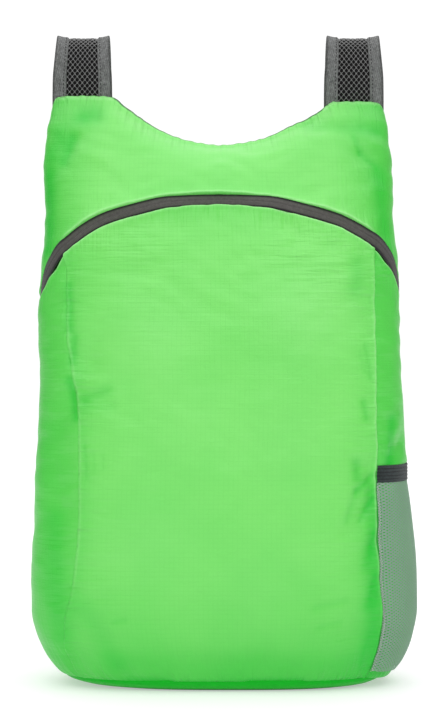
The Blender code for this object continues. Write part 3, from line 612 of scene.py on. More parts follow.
def math_node(tree, operation, *values, clamp=False):
    inputs = dict(enumerate(values))
    return add_node(tree, "ShaderNodeMath", inputs, operation=operation, use_clamp=clamp).outputs[0]


def noise_node(tree, vector, scale, detail=2.0, roughness=0.5):
    inputs = {"Vector": vector, "Scale": scale, "Detail": detail, "Roughness": roughness}
    return add_node(tree, "ShaderNodeTexNoise", inputs).outputs["Fac"]


def stretched(tree, vector, x, y):
    inputs = {"Vector": vector, "Scale": (x, y, 1.0)}
    return add_node(tree, "ShaderNodeMapping", inputs).outputs["Vector"]


def mix_colour(tree, share, first, second):
    inputs = {"Factor": share, "A": first, "B": second}
    return add_node(tree, "ShaderNodeMix", inputs, data_type="RGBA").outputs["Result"]


def add_bump(tree, height, distance, normal=None):
    inputs = {"Height": height, "Distance": distance, "Strength": 1.0}
    if normal is not None:
        inputs["Normal"] = normal
    return add_node(tree, "ShaderNodeBump", inputs).outputs["Normal"]


def cloth_vector(tree):
    return add_node(tree, "ShaderNodeUVMap", {}, uv_map="cloth").outputs["UV"]


def mask(tree, name):
    return add_node(tree, "ShaderNodeAttribute", {}, attribute_name=name).outputs["Fac"]


def object_vector(tree):
    return tree.nodes.new("ShaderNodeTexCoord").outputs["Object"]


def ripstop_group():
    """The squares of thick yarn in ripstop cloth. Vector is in metres."""
    group = bpy.data.node_groups.new("ripstop squares", "ShaderNodeTree")
    for label, kind in (("Vector", "Vector"), ("Cell", "Float"), ("Yarn", "Float")):
        group.interface.new_socket(label, in_out="INPUT", socket_type=f"NodeSocket{kind}")
    for label in ("Yarns", "Threads"):
        group.interface.new_socket(label, in_out="OUTPUT", socket_type="NodeSocketFloat")
    enter, leave = group.nodes.new("NodeGroupInput"), group.nodes.new("NodeGroupOutput")
    split = add_node(group, "ShaderNodeSeparateXYZ", {0: enter.outputs["Vector"]})
    lines, threads = [], []
    for axis in range(2):
        cells = math_node(group, "DIVIDE", split.outputs[axis], enter.outputs["Cell"])
        away = math_node(group, "PINGPONG", cells, 0.5)
        away = math_node(group, "MULTIPLY", away, enter.outputs["Cell"])
        away = math_node(group, "DIVIDE", away, enter.outputs["Yarn"])
        lines.append(math_node(group, "SUBTRACT", 1.0, away, clamp=True))
        turns = math_node(group, "MULTIPLY", split.outputs[axis], 2 * math.pi / THREAD_PITCH)
        threads.append(math_node(group, "SINE", turns))
    yarns = math_node(group, "MAXIMUM", *lines)
    fill(group, leave, {"Yarns": yarns, "Threads": math_node(group, "MULTIPLY", *threads)})
    return group


def ripstop_material(name, colour, shade, gloss, sheen):
    """Thin glossy nylon with its squares, fine ruckles beside the seams, uneven dye, and painted shade
    and highlights.
    """
    material, tree, shader = new_material(name)
    vector = cloth_vector(tree)
    cell = {"Vector": vector, "Cell": RIPSTOP_CELL, "Yarn": RIPSTOP_YARN}
    squares = add_node(tree, "ShaderNodeGroup", cell, node_tree=RIPSTOP).outputs
    broad = noise_node(tree, object_vector(tree), 14.0, 3.0)
    # Uneven dye from broad noise, and painted shade from the deep mask: low down, round the sides and
    # in creases.
    tone = math_node(tree, "MULTIPLY_ADD", broad, 0.50, -0.20)
    tone = math_node(tree, "ADD", tone, mask(tree, "deep"), clamp=True)
    base = mix_colour(tree, tone, colour, shade)
    base = mix_colour(tree, math_node(tree, "MULTIPLY", squares["Yarns"], 0.09), base, shade)
    # Painted highlights, then darker green: painted shade on the base, and a darker line on the crown.
    base = mix_colour(tree, mask(tree, "pale"), base, HIGHLIGHT_GREEN)
    base = mix_colour(tree, mask(tree, "dim"), base, DIM_GREEN)
    ruckles = []
    for label, x, y in (("level_ruckles", 26.0, 250.0), ("upright_ruckles", 250.0, 30.0)):
        uneven = noise_node(tree, stretched(tree, vector, x, y), 1.0, 2.0)
        ruckles.append(math_node(tree, "MULTIPLY", uneven, mask(tree, label)))
    normal = add_bump(tree, math_node(tree, "ADD", *ruckles), 0.0026)
    soft = noise_node(tree, stretched(tree, vector, 60.0, 90.0), 1.0, 3.0)
    normal = add_bump(tree, soft, 0.0006, normal)
    fine = math_node(tree, "MULTIPLY_ADD", squares["Threads"], 0.2, squares["Yarns"])
    fill(tree, shader, {
        "Base Color": base,
        "Roughness": math_node(tree, "MULTIPLY_ADD", mask(tree, "dim"), 0.5, 0.42),
        "Specular IOR Level": gloss,
        "Sheen Weight": sheen,
        "Sheen Roughness": 0.4,
        "Normal": add_bump(tree, fine, 0.00006, normal),
    })
    return material


def yarn_material(name, colour, shade, roughness, warp, weft, depth=0.0002, slant=0.0):
    """Woven tape or webbing: ribs of yarn along and across it. warp, weft: yarns to the metre."""
    material, tree, shader = new_material(name)
    split = add_node(tree, "ShaderNodeSeparateXYZ", {0: cloth_vector(tree)}).outputs
    leaning = math_node(tree, "MULTIPLY_ADD", split[1], slant, split[0])
    ribs = []
    for place, yarns in ((leaning, warp), (split[1], weft)):
        turns = math_node(tree, "MULTIPLY", place, 2 * math.pi * yarns)
        ribs.append(math_node(tree, "SINE", turns))
    weave = math_node(tree, "MULTIPLY_ADD", *ribs, 1.0)
    weave = math_node(tree, "MULTIPLY", weave, 0.5)
    uneven = noise_node(tree, object_vector(tree), 520.0, 3.0, 0.75)
    tone = math_node(tree, "MULTIPLY_ADD", uneven, 1.9, -0.45)
    lit = math_node(tree, "MULTIPLY_ADD", weave, 0.85, 0.35)
    tone = math_node(tree, "MULTIPLY", tone, lit, clamp=True)
    woven = mix_colour(tree, tone, shade, colour)
    height = math_node(tree, "MULTIPLY_ADD", uneven, 0.5, weave)
    # The mask mixes in painted shade.
    fill(tree, shader, {
        "Base Color": mix_colour(tree, mask(tree, "dark"), woven, SHADED),
        "Roughness": roughness,
        "Specular IOR Level": 0.3,
        "Sheen Weight": 0.15,
        "Normal": add_bump(tree, height, depth),
    })
    return material


def plain_material(name, colour, shade, roughness, metallic=0.0, grain=500.0, depth=0.00005):
    """Moulded plastic, metal, foam or thread with uneven tone and a fine grain."""
    material, tree, shader = new_material(name)
    uneven = noise_node(tree, object_vector(tree), grain, 3.0, 0.6)
    fill(tree, shader, {
        "Base Color": mix_colour(tree, uneven, colour, shade),
        "Roughness": math_node(tree, "MULTIPLY_ADD", uneven, 0.2, roughness - 0.1),
        "Specular IOR Level": 0.5 if roughness < 0.6 else 0.15,
        "Metallic": metallic,
        "Normal": add_bump(tree, uneven, depth),
    })
    return material


def grey(level):
    """An even grey."""
    return (level, level, level, 1)


RIPSTOP = ripstop_group()
GREEN = ripstop_material(
    "ripstop_green", (0.205, 0.770, 0.140, 1), (0.008, 0.545, 0.022, 1), 0.60, 0.06
)
# A darker copy of the ripstop for the base, as painted shade.
SHADED_BASE_GREEN = ripstop_material(
    "ripstop_base", (0.080, 0.62, 0.070, 1), (0.004, 0.50, 0.018, 1), 0.15, 0.0
)
ZIP_TAPE = yarn_material(
    "zip_tape", (0.115, 0.108, 0.100, 1), (0.060, 0.057, 0.053, 1), 0.6, 1100, 700
)
BINDING_TAPE = yarn_material(
    "binding_tape", (0.33, 0.34, 0.335, 1), (0.05, 0.052, 0.051, 1), 0.7, 700, 560, 0.0004, 1.0
)
WEBBING_TAPE = yarn_material(
    "webbing_tape", (0.07, 0.072, 0.07, 1), (0.025, 0.026, 0.025, 1), 0.7, 500, 420, 0.0003
)
ELASTIC = yarn_material(
    "elastic_band", (0.046, 0.064, 0.066, 1), (0.012, 0.017, 0.018, 1), 0.75, 1400, 300
)
NET = plain_material(
    "pocket_net", (0.29, 0.46, 0.325, 1), (0.21, 0.35, 0.240, 1), 0.9, 0.0, 900.0, 0.00001
)
NET_EDGE = plain_material("net_edge_thread", (0.60, 0.66, 0.61, 1), (0.40, 0.46, 0.41, 1), 0.8)
MESH_THREAD = plain_material("spacer_mesh", grey(0.34), grey(0.13), 0.8, 0.0, 900.0, 0.00002)
FOAM = plain_material("pad_core", grey(0.006), grey(0.010), 0.9, 0.0, 300.0)
METAL = plain_material("slider_metal", grey(0.10), grey(0.06), 0.35, 0.8, 700.0)
PLASTIC = plain_material(
    "buckle_plastic", (0.018, 0.018, 0.019, 1), grey(0.028), 0.42, 0.0, 900.0
)
GREY_THREAD = plain_material("grey_thread", grey(0.020), grey(0.045), 0.7)


# The bag's cloths.


def cloth_piece(name, stations, hems, seams, node):
    """A cloth from the base seam to the zip, with the hems of its left, right, lower and upper edge.

    seams says which seam each edge is at, so that both cloths of a seam wave alike there: 1 left
    front, 2 right front, 3 right back, 4 left back, 5 base, 6 zip.
    """
    tall = zip_edge(stations, -1) - BASE_SEAM
    shares = edged_shares(float(np.mean(tall)) * SHOULDER_HEIGHT, CLOTH_STEP)
    heights = BASE_SEAM + tall * shares[:, None]
    flat_stations = np.broadcast_to(stations, heights.shape)
    stations = seamed(flat_stations, heights)
    points = plain_body(stations, heights)
    cloth = cloth_coordinates(stations, points)
    girth, rise = cloth[..., 0], heights * SHOULDER_HEIGHT
    beside = np.abs(girth - girth[:, :1])
    beyond = np.abs(girth[:, -1:] - girth)
    above = (heights - heights[:1]) * SHOULDER_HEIGHT
    below = (heights[-1:] - heights) * SHOULDER_HEIGHT
    lift = np.zeros(heights.shape)
    level = np.full(heights.shape, 0.10)
    upright = np.full(heights.shape, 0.05)
    base_calm = ramp(above, 0.008)
    edges = zip(hems, seams, (beside, beyond, above, below), (rise, rise, girth, girth))
    for hem, seam, away, along in edges:
        lift += smooth_row(away, hem)
        near = fade(away, 0.009) * ramp(away, 0.002)
        far = fade(away, 0.020) * (ramp(away, 0.004) if seam in (3, 4, 5) else 1)
        near, far = near * base_calm, far * base_calm
        wavy = 0.4 if hem is SIDE_ZIP_HEM else 1.0
        lift += near * wavy * 0.0006 * ripple(along + away * 0.3, 11 + seam, 0.006, 0.016)
        lift += far * wavy * 0.0006 * ripple(along - away * 0.4, 21 + seam, 0.018, 0.045)
        if seam > 4:
            upright += 0.8 * fade(away, 0.012)
        elif name == "front_cloth":
            level += 0.8 * fade(away, 0.018)
        else:
            level += 0.3 * fade(away, 0.012)
    rough = 0.40 + 0.6 * fade(below, 0.06) + 0.3 * fade(np.minimum(beside, beyond), 0.03)
    free = ramp(2 - np.abs(flat_stations), 0.08) * base_calm
    lift += (rolling(points) + wrinkles(points) * np.clip(rough, 0, 1)) * free
    creased, painted_crease_shade = press_creases(points)
    folded = fold_depth(points)
    lift -= folded + creased
    if name == "side_cloth_right":
        across = ramp(np.abs(flat_stations) - POCKET_START, POCKET_SPAN)
        pocket_top = POCKET_HEIGHT + ELASTIC_BAND
        below_elastic = ramp(pocket_top + 0.012 - rise, 0.012)
        lift += 0.96 * pocket_bulge(across, rise)
        lift += folded * ramp(across, SEAM_SHARE_OF_POCKET) * below_elastic
        pressed = (folded + creased) * near_seam(across)
        under_net = net_stand(across, rise) - pressed - UNDER_NET
        lift = np.where(rise < pocket_top, np.minimum(lift, under_net), lift)
    for x, z in RUCKLED_SPOTS:
        spot = np.hypot(points[..., 0] * 1000 - x, (points[..., 2] * 1000 - z) * 1.6)
        level += 0.60 * bell(spot, 30)
    mesh = grid_mesh(name, stand_off(points, stations, heights, lift), cloth)
    # A painted highlight along the zip's folded edge, and on the front along both seams and in broad
    # spots.
    pale = bell(below - 0.0011, 0.0008) * 0.5
    if name == "front_cloth":
        along_seam = np.clip(rise / 0.05 - 1, 0, 1) * np.clip(below / 0.05, 0.2, 1)
        pale += bell(beside - 0.0014, 0.0009) * 0.18 * along_seam
        pale += bell(beyond - 0.0010, 0.0008) * 0.35 * along_seam
        for x, z, wide, amount in PALE_SPOTS:
            away = np.hypot(points[..., 0] * 1000 - x, points[..., 2] * 1000 - z)
            pale += amount * bell(away, wide)
    # Painted shade: darker low down, round the sides and in the creases.
    deep = shade_by_place(flat_stations, heights) + painted_crease_shade
    set_masks(mesh, deep=deep, pale=pale, level_ruckles=level, upright_ruckles=upright)
    place_piece(name, mesh, GREEN, "ripstop_green", node)


def make_cloths():
    """The front cloth and the two side cloths."""
    hems = (LEFT_HEM, SIDE_HEM, BASE_HEM, ZIP_HEM)
    cloth_piece("front_cloth", FRONT_STATIONS, hems, (1, 2, 5, 6), "front_panel")
    hems = (SUNK_HEM, LEFT_GUSSET_HEM, BASE_HEM, SIDE_ZIP_HEM)
    left = -GUSSET_STATIONS[::-1]
    cloth_piece("side_cloth_left", left, hems, (4, 1, 5, 6), "side_gusset_left")
    hems = (GUSSET_HEM, SUNK_HEM, BASE_HEM, SIDE_ZIP_HEM)
    cloth_piece("side_cloth_right", GUSSET_STATIONS, hems, (2, 3, 5, 6), "side_gusset_right")


def shape_crown(grid, points, heights):
    """Arches the crown under each strap, rounds the shoulders' corners and gathers the edge."""
    half_width, _, _, _, _, lean = section(heights)
    across = (points[..., 0] - lean) / half_width
    near = ramp(heights - 0.90, 0.10) ** 2
    under_strap = np.abs(np.abs(across) - 0.82) / 0.17
    rise = 0.0007 * np.clip(1 - under_strap**2, 0, 1)
    rise = rise - RIGHT_SAG * ramp(across - 0.45, 0.2)
    corner = 0.0026 * ramp(np.abs(across) - 0.95, 0.05) ** 2
    gathers = 0.00030 * ripple(points[..., 0], 61, 0.004, 0.011)
    shaped = grid.copy()
    shaped[..., 2] += near * (rise - corner + gathers)
    return shaped


def off_strap(points):
    """1 where no strap stands on the crown, and 0 where one does."""
    beside = np.abs(np.abs(points[..., 0]) - STRAP_SPREAD) - STRAP_WIDTH / 2
    return ramp(beside, 0.002)


def make_yoke():
    """The cloth over the zip, round the front and both sides."""
    left = -GUSSET_STATIONS[:0:-1]
    stations = np.concatenate([left, FRONT_STATIONS, GUSSET_STATIONS[1:]])
    low = zip_edge(stations, 1)
    length = float(np.mean(1 - low)) * SHOULDER_HEIGHT
    shares = np.sin(edged_shares(length, CLOTH_STEP, (True, False)) * math.pi / 2)
    heights = low + (1 - low) * shares[:, None]
    stations = np.broadcast_to(stations, heights.shape)
    points = plain_body(stations, heights)
    cloth = cloth_coordinates(stations, points)
    above = (heights - heights[:1]) * SHOULDER_HEIGHT
    to_crown = (1 - heights) * SHOULDER_HEIGHT
    girth = cloth[..., 0]
    at_side = ramp(np.abs(stations) - 0.97, 0.06)
    lift = smooth_row(above, ZIP_HEM) * (1 - at_side) + smooth_row(above, SIDE_ZIP_HEM) * at_side
    for away in (girth - girth[:, :1], girth[:, -1:] - girth):
        lift += smooth_row(away, SUNK_HEM) * ramp(to_crown, 0.02)
    lift += fade(above, 0.010) * 0.0004 * ripple(girth, 31, 0.008, 0.02)
    calm = ramp(to_crown, 0.03)
    free = ramp(2 - np.abs(stations), 0.08)
    lift += (rolling(points) + wrinkles(points, 15)) * calm * free
    creased, painted_crease_shade = press_creases(points)
    pressed = fold_depth(points) * calm + creased * ramp(to_crown, 0.006)
    grid = stand_off(points, stations, heights, lift - pressed)
    grid = shape_crown(grid, points, heights)
    mesh = grid_mesh("yoke_cloth", grid, cloth)
    # A darker line painted along the crown where no strap covers it.
    dark_crown_line = np.exp(-((to_crown / 0.0011) ** 4)) * off_strap(points)
    # Painted shade round the sides and in the creases.
    deep = shade_by_place(stations, heights, SHADE_ROUND_YOKE, SHADE_ROUND_YOKE) + painted_crease_shade
    # Painted highlights along the zip's folded edge and on the crown's edge under each strap.
    edge = bell(above - 0.0012, 0.0009) * (1 - at_side)
    crown = bell(to_crown - 0.0012, 0.0018) * (1 - off_strap(points))
    upright = 0.1 + 0.5 * fade(above, 0.01) + 0.9 * fade(to_crown, 0.010)
    set_masks(mesh, dim=dark_crown_line, deep=deep, pale=0.5 * edge + 0.45 * crown)
    set_masks(mesh, level_ruckles=0.1 + 0 * above, upright_ruckles=upright)
    place_piece("yoke_cloth", mesh, GREEN, "ripstop_green", "yoke")


def make_back():
    """The cloth of the back, with closer rows towards the crown."""
    seam_girth = FACE_LENGTH + GUSSET_LENGTH
    back_length = 2 * (ROUND_LENGTHS[-1] - FACE_LENGTH - GUSSET_LENGTH)
    stations = 2 + 2 * edged_shares(back_length, BACK_STEP)
    stations = np.where(stations > 3, stations - 6, stations)
    rows = edged_shares(SHOULDER_HEIGHT, BACK_STEP, (True, False))
    closer = 0.8 + 0.2 * np.sin((rows - 0.8) / 0.2 * math.pi / 2)
    heights = BASE_SEAM + (1 - BASE_SEAM) * np.where(rows > 0.8, closer, rows)
    heights = np.broadcast_to(heights[:, None], (len(heights), len(stations)))
    stations = np.broadcast_to(stations, heights.shape)
    points = plain_body(stations, heights)
    cloth = cloth_coordinates(stations, points)
    girth = np.abs(cloth[..., 0])
    cloth[..., 0] = np.where(stations < 0, 2 * ROUND_LENGTHS[-1] - girth, girth)
    away = girth - seam_girth
    to_crown = (1 - heights) * SHOULDER_HEIGHT
    above = (heights - BASE_SEAM) * SHOULDER_HEIGHT
    calm = ramp(to_crown, 0.03)
    lift = smooth_row(away, SUNK_HEM) * ramp(to_crown, 0.02) + smooth_row(above, SUNK_HEM)
    free = ramp(away, 0.004)
    waves = ripple(heights * SHOULDER_HEIGHT, 41, 0.008, 0.02)
    lift += calm * free * fade(away, 0.012) * 0.0007 * waves
    uneven = rolling(points, 9) + 0.5 * wrinkles(points, 17)
    lift += uneven * calm * free * ramp(above, 0.008)
    grid = stand_off(points, stations, heights, lift - fold_depth(points) * calm)
    grid = shape_crown(grid, points, heights)
    mesh = grid_mesh("back_cloth", grid, cloth)
    level = 0.1 + 0.8 * fade(away, 0.012)
    upright = 0.1 + 0.5 * fade(above, 0.01) + 0.5 * fade(to_crown, 0.008)
    # Painted shade, darker low down and round the sides to the back.
    set_masks(mesh, deep=shade_by_place(stations, heights), level_ruckles=level, upright_ruckles=upright)
    place_piece("back_cloth", mesh, GREEN, "ripstop_green", "back_panel")


def make_base():
    """The base cloth, flat on the floor and rounded up to the seam that runs all round it."""
    stations = np.linspace(-3, 3, 361)[:-1]
    shares = np.concatenate([[0], np.linspace(0.02, 1, 12) ** 1.6])
    heights = np.broadcast_to((shares * BASE_SEAM)[:, None], (len(shares), len(stations)))
    stations = np.broadcast_to(stations, heights.shape)
    points = plain_body(stations, heights)
    below = (BASE_SEAM - heights) * SHOULDER_HEIGHT
    pressed = fold_depth(points) + press_creases(points)[0]
    lift = smooth_row(below, BASE_HEM) - pressed
    lift[0] = 0
    grid = stand_off(points, stations, heights, lift)
    grid[0, :, 2] = 0
    grid[..., 2] = np.maximum(grid[..., 2], 0)
    inner = [grid[0] * np.array([share, share, 1]) for share in (0.02, 0.35, 0.7, 0.93)]
    rings = np.concatenate([np.array(inner), grid])
    mesh = grid_mesh("base_cloth", rings, rings[..., :2], closed=True)
    # The base is painted in shade all over, with a painted shadow where it meets the floor.
    even = np.ones(rings.shape[:2])
    dim = 0.05 + 0.95 * bell(rings[..., 2], 0.0016)
    set_masks(mesh, deep=even, level_ruckles=0.2 * even, upright_ruckles=0.3 * even, dim=dim)
    place_piece("base_cloth", mesh, SHADED_BASE_GREEN, "ripstop_green", "bottom_panel")


def make_zip_tape():
    """The two tapes of the zip, which meet in a shallow line over its hidden coil."""
    stations = np.linspace(-2, 2, 421)
    shares = np.linspace(-1.04, 1.04, 17)
    middle = zip_edge(stations, 0)
    above, below = zip_edge(stations, 1) - middle, middle - zip_edge(stations, -1)
    heights = middle + np.where(shares[:, None] > 0, above, below) * shares[:, None]
    stations = np.broadcast_to(stations, heights.shape)
    groove = 0.0004 * bell(shares, 0.07)
    profile = 0.0004 * np.cos(shares * math.pi / 2) - groove - 0.0006
    at_side = ramp(np.abs(stations) - 0.97, 0.06)
    lift = profile[:, None] + 0.0005 * at_side
    points = plain_body(stations, heights)
    grid = stand_off(points, stations, heights, lift - fold_depth(points))
    girth = cloth_coordinates(stations, points)[..., 0]
    across = np.broadcast_to(shares[:, None] * ZIP_BAND / 2, girth.shape)
    cloth = np.stack([girth, across], axis=-1)
    mesh = grid_mesh("zip_tape", grid, cloth)
    # Painted shadow along both edges of the tape under the cloth's folded edges, and painted shade
    # towards both ends.
    edges = ramp(np.abs(shares) - 0.62, 0.2)[:, None]
    set_masks(mesh, dark=edges + 0.5 * ramp(np.abs(stations) - 0.9, 0.3))
    place_piece("zip_tape", mesh, ZIP_TAPE, "zip_grey", "zip_band")


# Stitches.


def stitch_group():
    """Sets one stitch after another along each line of points."""
    group = bpy.data.node_groups.new("stitches along lines", "GeometryNodeTree")
    sockets = (("Lines", "Geometry"), ("Stitch", "Object"), ("Pitch", "Float"))
    for label, kind in (*sockets, ("Thread", "Material"), ("Seed", "Int")):
        group.interface.new_socket(label, in_out="INPUT", socket_type=f"NodeSocket{kind}")
    group.interface.new_socket("Stitches", in_out="OUTPUT", socket_type="NodeSocketGeometry")
    enter, leave = group.nodes.new("NodeGroupInput"), group.nodes.new("NodeGroupOutput")
    curve = group.nodes.new("GeometryNodeMeshToCurve")
    spots = add_node(group, "GeometryNodeCurveToPoints", {}, mode="LENGTH")
    stitch = group.nodes.new("GeometryNodeObjectInfo")
    place = group.nodes.new("GeometryNodeInstanceOnPoints")
    sizes = {2: LEAST_STITCH, 3: MOST_STITCH}
    uneven = add_node(group, "FunctionNodeRandomValue", sizes, data_type="FLOAT")
    real = group.nodes.new("GeometryNodeRealizeInstances")
    thread = group.nodes.new("GeometryNodeSetMaterial")
    for start, out, end, into in (
        (enter, "Lines", curve, "Mesh"),
        (curve, "Curve", spots, "Curve"),
        (enter, "Pitch", spots, "Length"),
        (enter, "Stitch", stitch, "Object"),
        (spots, "Points", place, "Points"),
        (spots, "Rotation", place, "Rotation"),
        (stitch, "Geometry", place, "Instance"),
        (enter, "Seed", uneven, "Seed"),
        (uneven, 1, place, "Scale"),
        (place, "Instances", real, "Geometry"),
        (real, "Geometry", thread, "Geometry"),
        (enter, "Thread", thread, "Material"),
        (thread, "Geometry", leave, "Stitches"),
    ):
        group.links.new(start.outputs[out], end.inputs[into])
    return group


STITCHES = stitch_group()


def stitch_shape(length, thick):
    """A stitch: a short rounded run of thread, with rings of corners between its two tips."""
    points = [(0, 0, -length / 2)]
    for ring in range(1, STITCH_RINGS + 1):
        turned = ring * math.pi / (STITCH_RINGS + 1)
        away, rise = math.sin(turned) * thick / 2, -math.cos(turned) * length / 2
        for side in range(STITCH_SIDES):
            round_it = 2 * math.pi * side / STITCH_SIDES
            points.append((math.sin(round_it) * away, math.cos(round_it) * away, rise))
    points.append((0, 0, length / 2))
    tip = len(points) - 1
    faces = []
    for side in range(STITCH_SIDES):
        here, after = 1 + side, 1 + (side + 1) % STITCH_SIDES
        faces.append((0, here, after))
        for low in range(0, tip - 1 - STITCH_SIDES, STITCH_SIDES):
            high = low + STITCH_SIDES
            faces.append((low + after, low + here, high + here, high + after))
        last = tip - 1 - STITCH_SIDES
        faces.append((last + here, tip, last + after))
    mesh = bpy.data.meshes.new("stitch")
    mesh.from_pydata(points, [], faces)
    mesh.polygons.foreach_set("use_smooth", np.ones(len(faces), bool))
    return add_object("stitch", mesh)


def sew(name, lines, stitch_size, thread, slot):
    """A row of stitches along each line of points, as one piece."""
    pitch, length, thick = stitch_size
    mesh = bpy.data.meshes.new(name)
    edges = []
    start = 0
    for line in lines:
        edges += [(i, i + 1) for i in range(start, start + len(line) - 1)]
        start += len(line)
    mesh.from_pydata(np.concatenate(lines).tolist(), edges, [])
    rows = add_object(f"{name}_rows", mesh)
    stitch = stitch_shape(length, thick)
    modifier = rows.modifiers.new("stitches", "NODES")
    modifier.node_group = STITCHES
    wanted = {"Stitch": stitch, "Pitch": pitch, "Thread": thread, "Seed": 3}
    for socket in STITCHES.interface.items_tree:
        if socket.in_out == "INPUT" and socket.name in wanted:
            modifier[socket.identifier] = wanted[socket.name]
    bpy.context.view_layer.update()
    grown = rows.evaluated_get(bpy.context.evaluated_depsgraph_get())
    sewn = bpy.data.meshes.new_from_object(grown)
    sewn.name = name
    rows.modifiers.clear()
    bpy.data.objects.remove(rows, do_unlink=True)
    bpy.data.objects.remove(stitch, do_unlink=True)
    place_piece(name, sewn, thread, slot)


# The net pocket.


def lattice(cells_across, cells_up, hole=0.56):
    """Rounded diamond cells over a unit square: the strands' crests, the holes' rims and the faces."""
    half = [(0.5, 0), (0.25, 0.25), (0, 0.5), (-0.25, 0.25)]
    corner = np.array(half + [(-x, -y) for x, y in half])
    rim = corner * hole
    rim[1::2] *= 1.22
    centres = []
    for row in range(2 * cells_up + 1):
        shift = 0.5 if row % 2 else 0.0
        for cell in range(cells_across + 1 - row % 2):
            centres.append((cell + shift, row / 2))
    centres = np.array(centres)
    crest_points = (centres[:, None] + corner).reshape(-1, 2)
    rim_points = (centres[:, None] + rim).reshape(-1, 2)
    keys = np.round(crest_points * 8).astype(int)
    _, first, again = np.unique(keys, axis=0, return_index=True, return_inverse=True)
    crest = crest_points[first]
    again = again.reshape(-1, 8)
    rims = len(crest) + np.arange(len(rim_points)).reshape(-1, 8)
    after = (np.arange(8) + 1) % 8
    faces = np.stack([again, again[:, after], rims[:, after], rims], axis=-1).reshape(-1, 4)
    size = np.array([cells_across, cells_up])
    places = np.concatenate([crest, rim_points]) / size
    is_crest = np.arange(len(places)) < len(crest)
    return np.clip(places, 0, 1), is_crest, faces


def pocket_bulge(across, rise):
    """How far the pocket's net stands off the gusset."""
    low = POCKET_LOW - 0.0002
    full = smooth_row((rise - low) / (POCKET_HEIGHT - low), POCKET_PROFILE)
    swell = np.sin(math.pi * np.clip(across, 0, 1)) ** 0.7
    return POCKET_BULGE * full * swell


def net_stand(across, rise):
    """How far the pocket's net stands off the body."""
    return 0.0002 + 0.0011 * ramp(across, 0.03) + pocket_bulge(across, rise)


def near_seam(across):
    """1 at the pocket's front seam and 0 away from it, where the net goes over the folds."""
    return np.clip(1 - across / SEAM_SHARE_OF_POCKET, 0, 1)


def pocket_point(across, rise, lift):
    """Points on the pocket's net, by share across the gusset and metres above the floor."""
    height = rise / SHOULDER_HEIGHT
    station = seamed(POCKET_START + POCKET_SPAN * across, height)
    body = plain_body(station, height)
    pressed = (fold_depth(body) + press_creases(body)[0]) * near_seam(across)
    return stand_off(body, station, height, net_stand(across, rise) + lift - pressed)


def make_pocket():
    """The net, the stitches along its front edge and the elastic."""
    places, crest, faces = lattice(*NET_CELLS, NET_HOLE)
    rise = POCKET_LOW + places[:, 1] * (POCKET_HEIGHT + 0.0008 - POCKET_LOW)
    lift = np.where(crest, 0.0, -0.00025)
    net = faces_mesh("pocket_net", pocket_point(places[:, 0], rise, lift), faces)
    net.validate()
    piece = place_piece("pocket_net", net, NET, "pocket_net", "mesh_pocket")
    rise = np.arange(POCKET_LOW, POCKET_HEIGHT - 0.001, 0.0009)
    sway = -0.004 + 0.012 * (np.arange(len(rise)) % 2)
    edging = pocket_point(sway, rise, np.full(len(rise), 0.0009))
    sew("pocket_edge_stitches", [edging], NET_STITCH, NET_EDGE, "pocket_net")
    rows = np.linspace(0, 1, 41)
    across = np.broadcast_to(np.linspace(0, 1, 61), (41, 61))
    ribs = np.abs(np.sin(rows * math.pi * ELASTIC_RIBS))
    edge = smooth_row(np.minimum(rows, 1 - rows) * ELASTIC_BAND, ELASTIC_EDGE)
    rise = POCKET_HEIGHT + 0.0006 + rows[:, None] * (ELASTIC_BAND - 0.0014) + 0 * across
    lift = 0.0001 + (0.00040 * ribs + edge)[:, None] + 0 * across
    cloth = np.stack([across * 0.11, rise], axis=-1)
    mesh = grid_mesh("pocket_elastic_band", pocket_point(across, rise, lift), cloth)
    # Painted shade in the valleys between the elastic's ribs.
    shaded_valleys = 0.9 * (1 - ribs) ** 2
    set_masks(mesh, dark=np.broadcast_to(shaded_valleys[:, None], across.shape))
    place_piece("pocket_elastic_band", mesh, ELASTIC, "elastic_slate", "pocket_elastic")


# The straps.


def strap_line(side, count):
    """Middles, outward normals, cups, widths and lengths along a strap at even steps."""
    back, height, out, cup, width = (np.array([row[i] for row in STRAP_PATH]) for i in range(5))
    back, height = back * BODY_DEPTH, height * SHOULDER_HEIGHT
    lengths = np.concatenate([[0], np.cumsum(np.hypot(np.diff(back), np.diff(height)))])
    at = np.linspace(0, lengths[-1], count)
    read = [smooth_row(at, list(zip(lengths, values))) for values in (back, height, out, cup, width)]
    middles = np.empty((count, 3))
    middles[:, 0] = side * (STRAP_SPREAD + read[2] * STRAP_WIDTH)
    middles[:, 1] = section(np.array([1.0]))[1][0] + read[0]
    middles[:, 2] = read[1] + 0.0005
    along = np.gradient(middles, axis=0)
    along /= np.linalg.norm(along, axis=1, keepdims=True)
    normals = np.cross(np.array([1.0, 0.0, 0.0]), along)
    normals /= np.linalg.norm(normals, axis=1, keepdims=True)
    sunk = middles[:1] - np.array([0.0, 0.0, STRAP_SUNK])
    middles = np.concatenate([sunk, middles])
    normals = np.concatenate([normals[:1], normals])
    cups, widths = (np.concatenate([values[:1], values]) for values in read[3:])
    return middles, normals, cups * STRAP_CUP, widths, np.concatenate([[0], at + STRAP_SUNK])


def on_strap(line, at, across, off):
    """Points on a strap: distance along it, distance across it and height off its middle."""
    middles, normals, cups, widths, lengths = line
    spots = np.stack([np.interp(at, lengths, middles[:, i]) for i in range(3)], axis=-1)
    facing = np.stack([np.interp(at, lengths, normals[:, i]) for i in range(3)], axis=-1)
    rise = np.interp(at, lengths, cups) * (across / PAD_HALF) ** 2 + off
    points = spots + facing * rise[..., None]
    points[..., 0] += across * np.interp(at, lengths, widths)
    return points


def pad_thickness(across):
    """Plump in the middle and thin under the bindings."""
    bound = PAD_HALF - BINDING_WIDTH
    share = ramp(np.abs(across), bound)
    plump = np.where(share < 1, 1 - share**6, 0)
    return PAD_EDGE_THICK + (STRAP_PAD_THICK - PAD_EDGE_THICK) * plump


